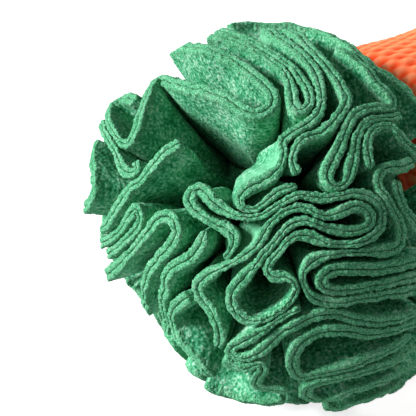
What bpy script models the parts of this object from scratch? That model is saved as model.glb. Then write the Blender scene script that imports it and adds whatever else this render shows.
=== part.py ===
"""A plush snuffle toy shaped like a carrot, lying on its side.

The leaf end is a ball of gathered green fleece ruffles, sewn by their roots to a stuffed fleece bulb.
The body is four gores of orange knit over a lining bag, stuffed, with a squeaker in its middle.
Metres, +Z up, +X from the ball towards the tail. The toy lies on the plane z = 0.
"""

import math

import bmesh
import bpy
import numpy as np
from mathutils import Matrix, Vector

MM = 0.001

# Ball of ruffles
BALL_RADIUS = 75 * MM
REST_CUT = 0.5 * MM
RUFFLE_THICKNESS = 4.2 * MM
RUFFLE_LEAST_THICKNESS = 1.6 * MM
RUFFLE_GAP = 1.0 * MM
RUFFLE_STEP = 13 * MM
RUFFLE_TURN_DEG = 46
OWN_RUN = 13 * MM
SEAT_GAP = 0.3 * MM
BULB_RADIUS = 32 * MM
BULB_WALL = 2 * MM
RUFFLE_CLEAR_DEG = 57

# The picture's view of the ball, from which the ruffles' routes were read, and the ball's middle and
# radius in its pixels
VIEW_AZIMUTH_DEG = -45
VIEW_ELEVATION_DEG = 25
VIEW_DISTANCE = 800 * MM
BALL_CIRCLE_PIXELS = (283, 217, 190)
BEHIND_DEG = 150

# Body
NECK_DISTANCE = 43 * MM
MOUTH_RADIUS = 27 * MM
KNIT_THICKNESS = 3 * MM
LINING_THICKNESS = 1 * MM
LAYER_GAP = 0.3 * MM
MOUTH_GAP = 0.9 * MM
SEAM_GAP = 0.4 * MM
SHOULDER_RADIUS = 64.5 * MM
BODY_LENGTH = 258 * MM
TIP_LENGTH = 12 * MM
TIP_SWEEP = math.radians(78)
TIP_STEPS = 4
NECK_CORD_RADIUS = 1.5 * MM
GORES = 4
GORE_NAMES = ("belly", "left", "back", "right")
BELLY_ROW_SHARES = (-1.0, -0.7, -0.4, 0.4, 0.7, 1.0)
SIDE_ROW_SHARES = (-1.0, -0.67, -0.33, 0.0, 0.33, 0.67, 1.0)

# Squeaker
SQUEAKER_FROM_NECK = 75 * MM
SQUEAKER_RADIUS = 25 * MM
SQUEAKER_HEIGHT = 24 * MM
SQUEAKER_PLATE = 4 * MM
SQUEAKER_EDGE = 1.5 * MM
BELLOWS_WALL = 1.2 * MM
BELLOWS_FOLD = 2.4 * MM
BELLOWS_FOLDS = 4
REED_HOLDER_RADIUS = 6 * MM
REED_HOLDER_HEIGHT = 9 * MM
REED_HOLDER_WALL = 1.4 * MM
REED_THICKNESS = 0.8 * MM
POCKET_GAP = 0.6 * MM

# Facets and welds
TURN_STEPS = 24
BULB_STEPS = 8
CORD_SIDES = 8
WELD = 0.01 * MM

# Radii along the body as shares of the shoulder's radius, at shares of its length from the neck
BODY_STATION_SHARES = [
    (0.004, 0.66, 0.98),
    (0.020, 0.84, 0.92),
    (0.050, 0.935, 0.72),
    (0.105, 0.982, 0.32),
    (0.20, 1.0, 0.0),
    (0.34, 1.0, 0.0),
    (0.48, 0.935, 0.0),
    (0.62, 0.815, 0.0),
    (0.75, 0.665, 0.0),
    (0.86, 0.51, 0.0),
    (0.94, 0.385, 0.0),
    (1.0, 0.25, 0.0),
]

# Routes of the ruffles' top edges that the picture shows, in its pixels
CROWN_HAIRPIN = [
    (169, 49), (184, 46), (200, 47), (215, 51), (230, 58), (243, 67), (255, 76), (264, 84), (270, 93),
    (270, 102), (263, 109), (252, 112), (240, 108), (225, 98), (205, 91), (188, 87), (170, 83),
    (157, 79), (149, 84), (145, 94), (141, 105), (137, 117), (134, 128), (131, 137), (126, 144),
    (119, 144), (113, 136), (108, 127), (105, 118), (105, 109), (111, 102), (121, 98), (131, 100),
]
LEFT_CURL = [
    (98, 124), (102, 134), (108, 144), (114, 153), (118, 162), (121, 170), (128, 174), (135, 170),
    (134, 161),
]
CROWN_FOLD = [
    (203, 35), (220, 36), (235, 41), (248, 47), (258, 52), (268, 58), (277, 65), (284, 73),
    (288, 82), (290, 92), (292, 102), (299, 108), (306, 104), (309, 96), (306, 87), (302, 80),
    (296, 72), (288, 64), (279, 57), (268, 50), (256, 43), (243, 37), (229, 32), (214, 28),
]
LONG_FOLD = [
    (262, 27), (278, 36), (290, 45), (299, 52), (307, 61), (313, 70), (318, 82), (320, 94),
    (319, 105), (315, 114), (307, 121), (297, 127), (287, 133), (281, 140), (283, 149), (281, 160),
    (275, 170), (265, 178), (254, 183), (246, 188), (240, 195), (240, 203), (246, 208), (255, 208),
    (263, 203), (270, 196), (278, 190), (288, 186), (297, 184),
]
RIGHT_FOLD = [
    (284, 27), (296, 33), (304, 41), (312, 49), (320, 58), (328, 67), (335, 76), (341, 86),
    (345, 97), (342, 106), (337, 113), (331, 121), (322, 129), (311, 133), (301, 138), (295, 146),
    (292, 155), (293, 164), (298, 172),
]
SHOULDER_LOOP = [
    (335, 44), (345, 50), (356, 58), (366, 67), (375, 77), (384, 86), (391, 95), (391, 103),
    (383, 104), (372, 104), (361, 107), (352, 113), (347, 122), (343, 132), (339, 143), (334, 154),
    (329, 165), (327, 175), (331, 182), (338, 184), (345, 181), (349, 174), (351, 165), (353, 155),
    (354, 145), (356, 134), (361, 124), (369, 117), (379, 114), (390, 114), (400, 111),
]
NECK_FOLD = [
    (370, 165), (369, 157), (367, 147), (367, 137), (370, 129), (377, 124), (384, 122), (391, 124),
    (397, 130), (403, 136), (409, 142), (416, 148), (424, 152),
]
MIDDLE_LABYRINTH = [
    (219, 348), (222, 340), (221, 330), (217, 320), (212, 312), (206, 305), (201, 297), (199, 288),
    (202, 281), (212, 273), (227, 266), (241, 258), (253, 249), (262, 238), (269, 224), (278, 215),
    (287, 209), (296, 206), (305, 206), (313, 209), (321, 213), (329, 214), (338, 211), (346, 207),
    (354, 204), (361, 204), (368, 208), (371, 214), (370, 221), (364, 226), (352, 229), (340, 228),
    (328, 226), (317, 222), (307, 219), (298, 220), (290, 224), (283, 231), (276, 240), (267, 250),
    (259, 261), (250, 272), (241, 282), (234, 292), (233, 303), (238, 312), (247, 319), (257, 321),
    (268, 318), (279, 312), (288, 305), (295, 296), (298, 286), (293, 278), (284, 276), (275, 276),
    (269, 270), (271, 262), (278, 253), (284, 245), (291, 238), (300, 234), (310, 235), (322, 239),
    (335, 242), (350, 242), (363, 239), (374, 233), (381, 224), (384, 213), (381, 203), (373, 195),
    (362, 191), (350, 191), (338, 194), (325, 196), (313, 195), (301, 193), (291, 196), (281, 202),
    (272, 208), (263, 214), (250, 217), (236, 215), (223, 209), (214, 203), (207, 195), (200, 189),
    (192, 191), (189, 199), (193, 208), (202, 216), (214, 223), (226, 229), (234, 235), (234, 244),
    (230, 252), (224, 259),
]
SIDE_LOOP = [
    (412, 158), (403, 163), (394, 163), (385, 165), (380, 170), (378, 178), (381, 187), (387, 195),
    (392, 203), (397, 211), (401, 221), (403, 232), (400, 242), (390, 247), (375, 249), (360, 250),
    (345, 251), (332, 253), (321, 256), (312, 261), (306, 268), (304, 277), (307, 286), (313, 294),
    (322, 299), (333, 301), (347, 300), (362, 297), (378, 294), (395, 291), (412, 288), (428, 284),
]
SIDE_TONGUE = [
    (396, 176), (397, 186), (400, 195), (405, 204), (411, 213), (419, 222), (428, 230),
]
SIDE_HAIRPIN = [
    (432, 253), (416, 258), (402, 262), (388, 265), (372, 267), (356, 267), (343, 267), (332, 269),
    (325, 274), (323, 281), (329, 287), (340, 289), (353, 288), (367, 285), (381, 282), (395, 279),
    (407, 276), (420, 272), (434, 267),
]
LOWER_HAIRPIN = [
    (303, 307), (296, 310), (288, 315), (278, 321), (268, 328), (257, 335), (245, 342), (236, 347),
    (232, 352), (238, 357), (248, 358), (258, 354), (268, 347), (277, 339), (286, 331), (296, 325),
    (307, 320), (318, 315), (330, 313), (343, 314), (356, 317), (370, 319), (384, 319), (397, 317),
    (409, 314), (422, 308),
]
LOWER_LOOP = [
    (426, 316), (414, 322), (402, 326), (390, 330), (375, 332), (360, 331), (345, 329), (330, 330),
    (317, 334), (305, 341), (298, 350), (295, 360), (297, 370), (304, 377), (318, 374), (335, 370),
    (352, 365), (370, 358), (386, 351), (400, 343), (414, 333),
]
BOTTOM_HAIRPIN = [
    (424, 341), (412, 350), (400, 358), (385, 364), (370, 369), (355, 374), (340, 378), (325, 381),
    (314, 385), (309, 391), (312, 397), (321, 400), (332, 399), (345, 394), (360, 388), (378, 382),
    (396, 375), (410, 367), (422, 358),
]
LEFT_RIDGE = [
    (178, 142), (172, 146), (164, 151), (157, 159), (151, 167), (146, 174), (140, 181), (132, 186),
    (126, 192), (121, 199), (117, 206), (113, 214), (109, 222), (101, 230),
]
FAR_LEFT_EDGE = [
    (94, 142), (91, 151), (90, 161), (91, 172), (92, 184), (91, 194), (88, 203), (82, 210),
]
LEFT_FOLD = [
    (100, 246), (113, 238), (122, 228), (129, 216), (135, 210), (138, 217), (136, 228), (128, 239),
    (118, 248), (106, 257),
]
LEFT_ARCH = [
    (103, 279), (117, 267), (128, 256), (137, 246), (145, 236), (151, 227), (158, 219), (166, 217),
    (173, 221), (176, 230), (174, 240), (168, 249), (161, 257), (154, 265), (149, 273), (146, 282),
    (145, 292), (145, 303), (147, 314),
]
LEFT_WAVE = [
    (205, 231), (203, 238), (200, 245), (196, 252), (190, 259), (181, 264), (172, 270), (167, 279),
    (165, 290), (164, 302), (166, 315), (168, 327),
]
LOWER_LEFT_WAVE = [
    (190, 299), (181, 303), (174, 308), (172, 316), (174, 326), (178, 336), (184, 346), (191, 355),
    (199, 363), (207, 371), (215, 379),
]
BOTTOM_CURL = [
    (224, 362), (232, 366), (241, 369), (249, 369), (257, 365), (264, 365), (265, 372), (260, 378),
    (259, 385), (267, 389), (279, 390), (292, 391),
]
BOTTOM_EDGE = [
    (206, 387), (220, 394), (235, 399), (252, 402), (270, 403), (288, 403),
]
TOP_EDGE = [
    (224, 23), (236, 21), (250, 20), (266, 20), (284, 20), (300, 22), (316, 27), (330, 33),
    (343, 40), (354, 48), (364, 56), (374, 64), (385, 71), (395, 77), (404, 84), (413, 93),
    (422, 102), (430, 112), (435, 121),
]
BOTTOM_RIGHT_EDGE = [
    (327, 407), (345, 407), (362, 401), (381, 394), (400, 386), (414, 376), (425, 367),
]
SEEN_RUFFLES = {
    "ruffle_top_edge": TOP_EDGE,
    "ruffle_bottom_right_edge": BOTTOM_RIGHT_EDGE,
    "ruffle_crown_hairpin": CROWN_HAIRPIN,
    "ruffle_left_curl": LEFT_CURL,
    "ruffle_crown_fold": CROWN_FOLD,
    "ruffle_long_fold": LONG_FOLD,
    "ruffle_right_fold": RIGHT_FOLD,
    "ruffle_shoulder_loop": SHOULDER_LOOP,
    "ruffle_neck_fold": NECK_FOLD,
    "ruffle_middle_labyrinth": MIDDLE_LABYRINTH,
    "ruffle_side_loop": SIDE_LOOP,
    "ruffle_side_tongue": SIDE_TONGUE,
    "ruffle_side_hairpin": SIDE_HAIRPIN,
    "ruffle_lower_hairpin": LOWER_HAIRPIN,
    "ruffle_lower_loop": LOWER_LOOP,
    "ruffle_bottom_hairpin": BOTTOM_HAIRPIN,
    "ruffle_left_ridge": LEFT_RIDGE,
    "ruffle_far_left_edge": FAR_LEFT_EDGE,
    "ruffle_left_fold": LEFT_FOLD,
    "ruffle_left_arch": LEFT_ARCH,
    "ruffle_left_wave": LEFT_WAVE,
    "ruffle_lower_left_wave": LOWER_LEFT_WAVE,
    "ruffle_bottom_curl": BOTTOM_CURL,
    "ruffle_bottom_edge": BOTTOM_EDGE,
}

# Rows of ruffles round the neck where the picture doesn't reach: degrees from the body's axis,
# share of the ball's radius, and degrees from and to round the axis
UNSEEN_ROWS = {
    "collar": (65, 1.0, 178, 404),
    "collar_top": (65, 0.82, 50, 84),
    "collar_low": (65, 0.62, 129, 171),
    "back_row_1": (83, 1.0, 147, 507),
    "back_row_2": (101, 1.0, 147, 507),
    "back_row_3": (119, 1.0, 147, 507),
    "back_row_4": (136, 1.0, 147, 507),
}
HIDDEN_FROM_DEG = 88
FRAME_RIGHT_PIXEL = 426
ROW_SHARES = {"wave": 42 / 75, "clearance": 5.6 / 75, "least length": 22 / 75, "step": 1 / 75, "sway": 1.7}
ROW_SWEEP_DEG = 88
ROW_SWAY_DEG = 9

# Where the ball stands out or is pressed in: middle pixel, share of the radius, reach in pixels.
# The rows near its outline that the picture doesn't show are sunk a little, so that the shown ones make it.
BULGES = [
    ((375, 400), 0.085, 62),
    ((98, 125), 0.09, 48),
    ((195, 38), 0.085, 42),
    ((170, 66), -0.06, 20),
    ((82, 195), 0.06, 36),
    ((143, 318), -0.13, 58),
]
BULGE_DEPTH_SHARE = 0.35
ROW_SINK_SHARE = 0.035

# Where the ruffles lean: middle pixel, shift of their roots in pixels, reach in pixels
LEANS = [
    ((264, 160), (-38, -15), 46),
    ((252, 246), (-36, -8), 42),
]

# The model is made with the ball's middle at x = 0, and moved at the end to centre its length on the origin
BALL_CENTRE = np.array([0.0, 0.0, BALL_RADIUS - REST_CUT])
MATERIALS = {}


def unit(vector):
    return vector / np.linalg.norm(vector)


def view_axes():
    """The picture's right, up and towards-the-eye directions."""
    turn = math.radians(VIEW_AZIMUTH_DEG)
    tilt = math.radians(VIEW_ELEVATION_DEG)
    back = np.array([math.sin(turn) * math.cos(tilt), -math.cos(turn) * math.cos(tilt), math.sin(tilt)])
    right = np.array([math.cos(turn), math.sin(turn), 0.0])
    return right, np.cross(back, right), back


RIGHT, UP, BACK = view_axes()
LIMB = BALL_RADIUS * VIEW_DISTANCE / math.sqrt(VIEW_DISTANCE**2 - BALL_RADIUS**2)
ROUTE_STEP = ROW_SHARES["step"] * BALL_RADIUS
BALL_CENTRE_PIXEL = BALL_CIRCLE_PIXELS[:2]
PIXEL_SHARE = 1 / BALL_CIRCLE_PIXELS[2]


def growth_at(pixels):
    """The ball's radius where pixels show it, as a share of its plain radius."""
    pixels = np.asarray(pixels, float)
    growth = np.ones(pixels.shape[:-1])
    for middle, depth, reach in BULGES:
        away = np.linalg.norm(pixels - middle, axis=-1) / reach
        growth += depth * np.exp(-(away**2))
    return growth


def crest_point(pixel):
    """The point on the ball's surface that a pixel shows. Past the outline it lies behind and further out."""
    radius = BALL_RADIUS * float(growth_at(pixel))
    limb = radius * VIEW_DISTANCE / math.sqrt(VIEW_DISTANCE**2 - radius**2)
    across = (pixel[0] - BALL_CENTRE_PIXEL[0]) * PIXEL_SHARE * LIMB / limb
    rise = (BALL_CENTRE_PIXEL[1] - pixel[1]) * PIXEL_SHARE * LIMB / limb
    share = max(math.hypot(across, rise), 1e-9)
    flat = (across * RIGHT + rise * UP) / share
    inside = min(share, 1.0) * limb
    reach = inside**2 + VIEW_DISTANCE**2
    root = VIEW_DISTANCE**4 - reach * (VIEW_DISTANCE**2 - radius**2)
    run = (VIEW_DISTANCE**2 - math.sqrt(max(root, 0.0))) / reach
    point = run * inside * flat + VIEW_DISTANCE * (1 - run) * BACK
    past = math.radians(BEHIND_DEG) * max(share - 1.0, 0.0)
    side, depth = point @ flat, point @ BACK
    turned_side = side * math.cos(past) + depth * math.sin(past)
    turned_depth = depth * math.cos(past) - side * math.sin(past)
    growth = max(share, 1.0) * side / turned_side
    return (turned_side * flat + turned_depth * BACK) * growth


def smooth_curve(points, step):
    """A Catmull-Rom curve through the points, as a row of points about a step apart."""
    padded = [2 * points[0] - points[1], *points, 2 * points[-1] - points[-2]]
    curve = []
    for before, start, end, after in zip(padded, padded[1:], padded[2:], padded[3:]):
        count = max(2, math.ceil(np.linalg.norm(end - start) / step))
        for t in np.arange(count) / count:
            curve.append(
                0.5
                * (
                    2 * start
                    + (end - before) * t
                    + (2 * before - 5 * start + 4 * end - after) * t**2
                    + (3 * start - before - 3 * end + after) * t**3
                )
            )
    curve.append(points[-1])
    return np.array(curve)


def row_route(polar_deg, share, from_deg, to_deg):
    """A meander along a circle round the body's axis."""
    polar = math.radians(polar_deg)
    circle = BALL_RADIUS * math.sin(polar)
    length = math.radians(to_deg - from_deg) * circle
    along, aside, run = 0.0, 0.0, 0.0
    points = []
    sweep = math.radians(ROW_SWEEP_DEG)
    sway = math.radians(ROW_SWAY_DEG)
    while along < length:
        around = math.radians(from_deg) + along / circle
        down = polar + aside / BALL_RADIUS
        flat = np.array([0.0, math.cos(around), math.sin(around)])
        direction = math.sin(down) * flat + np.array([math.cos(down), 0.0, 0.0])
        points.append(direction * BALL_RADIUS * share)
        phase = 2 * math.pi * run / (ROW_SHARES["wave"] * BALL_RADIUS)
        heading = sweep * math.cos(phase) + sway * math.sin(ROW_SHARES["sway"] * phase + polar_deg)
        along += ROUTE_STEP * math.cos(heading)
        aside += ROUTE_STEP * math.sin(heading)
        run += ROUTE_STEP
    return np.array(points)


def on_ball(route):
    return route / np.linalg.norm(route, axis=1)[:, None] * BALL_RADIUS


def pixels_of(route):
    """Where the picture shows a route's points, or would if nothing hid them."""
    size = VIEW_DISTANCE / (VIEW_DISTANCE - route @ BACK) / LIMB / PIXEL_SHARE
    return np.stack(
        [BALL_CENTRE_PIXEL[0] + route @ RIGHT * size, BALL_CENTRE_PIXEL[1] - route @ UP * size], axis=-1
    )


def beyond_picture(route):
    """True for each point that the picture doesn't show."""
    behind = route @ BACK < BALL_RADIUS * math.cos(math.radians(HIDDEN_FROM_DEG))
    return behind | (pixels_of(route)[:, 0] > FRAME_RIGHT_PIXEL)


def unseen_routes(seen):
    """The rows, each broken off where it would run into a ruffle that the picture shows."""
    shown = on_ball(np.concatenate(list(seen.values())))
    routes = {}
    for row, (polar_deg, share, from_deg, to_deg) in UNSEEN_ROWS.items():
        route = row_route(polar_deg, share, from_deg, to_deg)
        spread = on_ball(route)
        away = np.linalg.norm(spread[:, None] - shown[None], axis=2).min(axis=1)
        free = (away > ROW_SHARES["clearance"] * BALL_RADIUS) & (beyond_picture(spread) | (share < 1.0))
        ends = np.flatnonzero(np.diff(np.concatenate([[False], free, [False]]).astype(int)))
        near = np.exp(-((spread @ BACK / BALL_RADIUS / BULGE_DEPTH_SHARE) ** 2))
        route = route * (1 + (growth_at(pixels_of(spread)) - 1 - ROW_SINK_SHARE) * near)[:, None]
        stretches = [route[low:high] for low, high in zip(ends[::2], ends[1::2])]
        wide = [piece for piece in stretches if len(piece) * ROW_SHARES["step"] > ROW_SHARES["least length"]]
        for count, piece in enumerate(wide, start=1):
            routes[f"ruffle_{row}" if len(wide) == 1 else f"ruffle_{row}_{count}"] = piece
    return routes


def all_routes():
    routes = {
        name: smooth_curve([crest_point(pixel) for pixel in pixels], ROUTE_STEP)
        for name, pixels in SEEN_RUFFLES.items()
    }
    routes.update(unseen_routes(routes))
    return routes


def free_distances(routes):
    """For each route, how far each of its points is from another ruffle or a far stretch of its own."""
    found = {}
    spread = {name: on_ball(route) for name, route in routes.items()}
    for name, route in spread.items():
        others = np.concatenate([other for key, other in spread.items() if key != name])
        away = np.linalg.norm(route[:, None] - others[None], axis=2).min(axis=1)
        run = np.concatenate([[0.0], np.cumsum(np.linalg.norm(np.diff(route, axis=0), axis=1))])
        own = np.linalg.norm(route[:, None] - route[None], axis=2)
        own[np.abs(run[:, None] - run[None]) < OWN_RUN] = np.inf
        found[name] = np.minimum(away, own.min(axis=1))
    return found


def chosen_sections(route):
    """Indexes along a route: sections lie closer together where it turns."""
    steps = np.diff(route, axis=0)
    lengths = np.linalg.norm(steps, axis=1)
    headings = steps / lengths[:, None]
    turns = np.zeros(len(lengths))
    turns[1:] = np.arccos(np.clip((headings[1:] * headings[:-1]).sum(axis=1), -1.0, 1.0))
    cost = np.concatenate([[0.0], np.cumsum(lengths / RUFFLE_STEP + turns / math.radians(RUFFLE_TURN_DEG))])
    count = max(2, math.ceil(cost[-1]))
    marks = np.linspace(0.0, cost[-1], count + 1)
    return np.unique(np.searchsorted(cost, marks - 1e-9))


def leaning(direction):
    """Where a ruffle's root goes, for a direction of its top edge."""
    shift = np.zeros(3)
    for middle, pixels, reach in LEANS:
        centre = unit(crest_point(middle))
        away = np.linalg.norm(direction - centre) / (reach * PIXEL_SHARE)
        aim = (pixels[0] * RIGHT - pixels[1] * UP) * PIXEL_SHARE
        shift += aim * math.exp(-(away**2))
    return unit(direction + shift)


def kept_clear(point):
    """A point drawn in along its radius to stay above the floor and clear of the body."""
    scale = 1.0
    if point[2] < -BALL_CENTRE[2]:
        scale = min(scale, -BALL_CENTRE[2] / point[2])
    most = BALL_RADIUS * math.cos(math.radians(RUFFLE_CLEAR_DEG))
    if point[0] > most:
        scale = min(scale, most / point[0])
    return point * scale + BALL_CENTRE


def ruffle_sections(route, free):
    """The four corners of each section: root left and right, top right and left."""
    halves = np.clip((free - RUFFLE_GAP) / 2, RUFFLE_LEAST_THICKNESS / 2, RUFFLE_THICKNESS / 2)
    root_radius = BULB_RADIUS + SEAT_GAP
    sections = []
    picked = chosen_sections(route)
    for here, index in enumerate(picked):
        low = picked[max(here - 1, 0)]
        high = picked[min(here + 1, len(picked) - 1)]
        half = halves[low : high + 1].min()
        before = route[max(index - 2, 0)]
        after = route[min(index + 2, len(route) - 1)]
        outward = unit(route[index])
        aside = unit(np.cross(outward, after - before)) * half
        left, right = route[index] - aside, route[index] + aside
        roots = [leaning(unit(side)) * root_radius for side in (left, right)]
        sections.append([*(root + BALL_CENTRE for root in roots), kept_clear(right), kept_clear(left)])
    return sections


def finish(name, bm, material, smooth=True):
    bmesh.ops.recalc_face_normals(bm, faces=bm.faces)
    mesh = bpy.data.meshes.new(name)
    bm.to_mesh(mesh)
    bm.free()
    if smooth:
        mesh.shade_smooth()
    mesh.materials.append(MATERIALS[material])
    thing = bpy.data.objects.new(name, mesh)
    bpy.context.collection.objects.link(thing)
    return thing


def tube_of_rings(name, rings, material):
    """A closed solid skinned over rings of points, each ring a closed loop."""
    bm = bmesh.new()
    loops = [[bm.verts.new(point) for point in ring] for ring in rings]
    for low, high in zip(loops, loops[1:]):
        for here in range(len(low)):
            there = (here + 1) % len(low)
            bm.faces.new((low[here], low[there], high[there], high[here]))
    bm.faces.new(loops[0])
    bm.faces.new(reversed(loops[-1]))
    return finish(name, bm, material)


def add_material(name, colour, roughness, metallic=0.0):
    material = bpy.data.materials.new(name)
    material.use_nodes = True
    shader = material.node_tree.nodes["Principled BSDF"]
    shader.inputs["Base Color"].default_value = (*colour, 1.0)
    shader.inputs["Roughness"].default_value = roughness
    shader.inputs["Metallic"].default_value = metallic
    material.diffuse_color = (*colour, 1.0)
    MATERIALS[name] = material


def add_materials():
    add_material("green_fleece", (0.08, 0.36, 0.15), 0.95)
    add_material("orange_knit", (0.87, 0.19, 0.07), 0.9)
    add_material("orange_thread", (0.7, 0.12, 0.04), 0.8)
    add_material("cotton_lining", (0.85, 0.8, 0.7), 0.9)
    add_material("polyester_fill", (0.93, 0.93, 0.93), 1.0)
    add_material("soft_plastic", (0.9, 0.88, 0.8), 0.45)
    add_material("reed_plastic", (0.2, 0.35, 0.8), 0.4)


def add_ruffles():
    routes = all_routes()
    free = free_distances(routes)
    for name, route in routes.items():
        tube_of_rings(name, ruffle_sections(route, free[name]), "green_fleece")
    for name in sorted(free, key=lambda name: free[name].min())[:3]:
        print(f"least distance from {name} to a ruffle or fold: {free[name].min() / MM:.2f} mm")


def flat_angle(radius):
    """Half the angle of the belly's flat, cut by the floor."""
    return math.acos((radius - REST_CUT) / radius)


def body_stations():
    """Rows along the body from the neck to the tip: place, radius, height of the middle, flat's angle."""
    stations = [(NECK_DISTANCE, MOUTH_RADIUS, BALL_CENTRE[2], flat_angle(MOUTH_RADIUS))]
    for along_share, radius_share, lift_share in BODY_STATION_SHARES:
        radius = SHOULDER_RADIUS * radius_share
        lying = radius - REST_CUT
        height = lying + (BALL_CENTRE[2] - lying) * lift_share
        stations.append((NECK_DISTANCE + BODY_LENGTH * along_share, radius, height, flat_angle(radius)))
    return np.array(stations)


def sunk_stations(depth):
    """The body's rows moved inwards by a depth, square to its profile."""
    stations = body_stations()
    slopes = np.gradient(stations[:, :2], axis=0)
    slopes[0] = stations[1, :2] - stations[0, :2]
    inward = np.stack([slopes[:, 1], -slopes[:, 0]], axis=1)
    inward /= np.linalg.norm(inward, axis=1)[:, None]
    stations[:, :2] += depth * inward
    stations[0, 1] = MOUTH_RADIUS
    stations[-1, 0] = NECK_DISTANCE + BODY_LENGTH
    return stations


def station_at(stations, place):
    return np.array([place, *(np.interp(place, stations[:, 0], column) for column in stations.T[1:])])


def gore_angles(gore, flat, trim=0.0):
    """Angles across a gore. The belly's has a flat in its middle."""
    edge = math.pi / 4 - trim
    shares = BELLY_ROW_SHARES if gore == 0 else SIDE_ROW_SHARES
    angles = [edge * share for share in shares]
    if gore == 0:
        middle = len(angles) // 2
        angles[middle:middle] = [-flat, flat]
    return [angle + gore * math.pi / 2 - math.pi / 2 for angle in angles]


def station_point(station, angle):
    place, radius, height, _ = station
    return (place, radius * math.cos(angle), max(height + radius * math.sin(angle), 0.0))


def station_ring(station):
    """A whole ring of the body: its four gores' points, each seam's once."""
    ring = []
    for gore in range(GORES):
        ring += [station_point(station, angle) for angle in gore_angles(gore, station[3])[:-1]]
    return ring


def add_gores():
    outside, inside = body_stations(), sunk_stations(KNIT_THICKNESS)
    for gore in range(GORES):
        rings = []
        for outer, inner in zip(outside, inside):
            trim = SEAM_GAP / 2 / outer[1]
            angles = gore_angles(gore, outer[3], trim)
            inner_trim = SEAM_GAP / 2 / inner[1]
            inner_angles = gore_angles(gore, outer[3], inner_trim)
            over = [station_point(outer, angle) for angle in angles]
            under = [station_point(inner, angle) for angle in reversed(inner_angles)]
            rings.append(over + under)
        tube_of_rings(f"body_gore_{GORE_NAMES[gore]}", rings, "orange_knit")


def add_lining():
    outside = sunk_stations(KNIT_THICKNESS + LAYER_GAP)
    inside = sunk_stations(KNIT_THICKNESS + LAYER_GAP + LINING_THICKNESS)
    inside[-1, 0] -= LINING_THICKNESS
    rings = [station_ring(station) for station in reversed(outside)]
    rings += [station_ring(station) for station in inside]
    tube_of_rings("lining_bag", rings, "cotton_lining")


def squeaker_place():
    station = station_at(body_stations(), NECK_DISTANCE + SQUEAKER_FROM_NECK)
    return Vector((station[0], 0.0, station[2] - SQUEAKER_HEIGHT / 2))


def add_stuffing():
    """Two lumps of filling that meet at the squeaker, each with half of its pocket."""
    stations = sunk_stations(KNIT_THICKNESS + 2 * LAYER_GAP + LINING_THICKNESS)
    stations[-1, 0] -= LINING_THICKNESS + LAYER_GAP
    split = squeaker_place().x
    front = [row for row in stations if row[0] < split]
    front.append(station_at(stations, split - LAYER_GAP / 2))
    rear = [station_at(stations, split + LAYER_GAP / 2)]
    rear += [row for row in stations if row[0] > split]
    pocket = pocket_cutter()
    for name, rows in (("stuffing_front", front), ("stuffing_rear", rear)):
        lump = tube_of_rings(name, [station_ring(row) for row in rows], "polyester_fill")
        cut = lump.modifiers.new("pocket", "BOOLEAN")
        cut.operation = "DIFFERENCE"
        cut.object = pocket


def pocket_cutter():
    radius = SQUEAKER_RADIUS + POCKET_GAP
    low, high = -POCKET_GAP, SQUEAKER_HEIGHT + POCKET_GAP
    profile = [(0.0, low), (radius, low), (radius, high), (0.0, high)]
    cutter = turned("squeaker_pocket", profile, squeaker_place(), "Z", "polyester_fill")
    cutter.hide_render = True
    cutter.display_type = "WIRE"
    return cutter


def turned(name, profile, centre, axis, material, closed=False, steps=TURN_STEPS):
    """A solid turned about an axis. Its profile holds radii and places along the axis."""
    turn_axis = Vector((1, 0, 0)) if axis == "X" else Vector((0, 0, 1))
    out = Vector((0, 0, 1)) if axis == "X" else Vector((1, 0, 0))
    bm = bmesh.new()
    verts = [bm.verts.new(centre + out * radius + turn_axis * along) for radius, along in profile]
    edges = [bm.edges.new(pair) for pair in zip(verts, verts[1:])]
    if closed:
        edges.append(bm.edges.new((verts[-1], verts[0])))
    bmesh.ops.spin(
        bm, geom=verts + edges, cent=centre, axis=turn_axis, steps=steps, angle=2 * math.pi, use_merge=True
    )
    bmesh.ops.remove_doubles(bm, verts=bm.verts, dist=WELD)
    bmesh.ops.dissolve_degenerate(bm, edges=bm.edges, dist=WELD)
    return finish(name, bm, material)


def add_bulb():
    """The stuffed fleece bulb that the ruffles are sewn to, its stem in the body's mouth."""
    stem = MOUTH_RADIUS - MOUTH_GAP
    stem_end = NECK_DISTANCE + KNIT_THICKNESS / 2
    outside = bulb_profile(BULB_RADIUS, stem, stem_end)
    inside = bulb_profile(BULB_RADIUS - BULB_WALL, stem - BULB_WALL, stem_end)
    centre = Vector(BALL_CENTRE)
    turned("ruffle_base_bulb", outside + inside[::-1], centre, "X", "green_fleece")
    core_wall = BULB_WALL + SEAT_GAP
    core = bulb_profile(BULB_RADIUS - core_wall, stem - core_wall, stem_end)
    turned("bulb_stuffing", [*core, (0.0, stem_end)], centre, "X", "polyester_fill")
    disc_low = stem_end + SEAT_GAP
    disc_high = NECK_DISTANCE + KNIT_THICKNESS + LAYER_GAP + LINING_THICKNESS
    disc = [(0.0, disc_low), (stem, disc_low), (stem, disc_high), (0.0, disc_high)]
    turned("neck_disc", disc, centre, "X", "green_fleece")


def bulb_profile(radius, stem, stem_end):
    shoulder = math.pi - math.asin(stem / radius)
    angles = [shoulder * step / BULB_STEPS for step in range(BULB_STEPS + 1)]
    arc = [(radius * math.sin(angle), -radius * math.cos(angle)) for angle in angles]
    return [*arc, (stem, stem_end)]


def add_neck_cord():
    ring_radius = MOUTH_RADIUS + NECK_CORD_RADIUS
    place = NECK_DISTANCE - SEAT_GAP - NECK_CORD_RADIUS
    angles = [2 * math.pi * step / CORD_SIDES for step in range(CORD_SIDES)]
    profile = [
        (ring_radius + NECK_CORD_RADIUS * math.cos(angle), place + NECK_CORD_RADIUS * math.sin(angle))
        for angle in angles
    ]
    turned("neck_gathering_cord", profile, Vector(BALL_CENTRE), "X", "orange_thread", closed=True)


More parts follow.
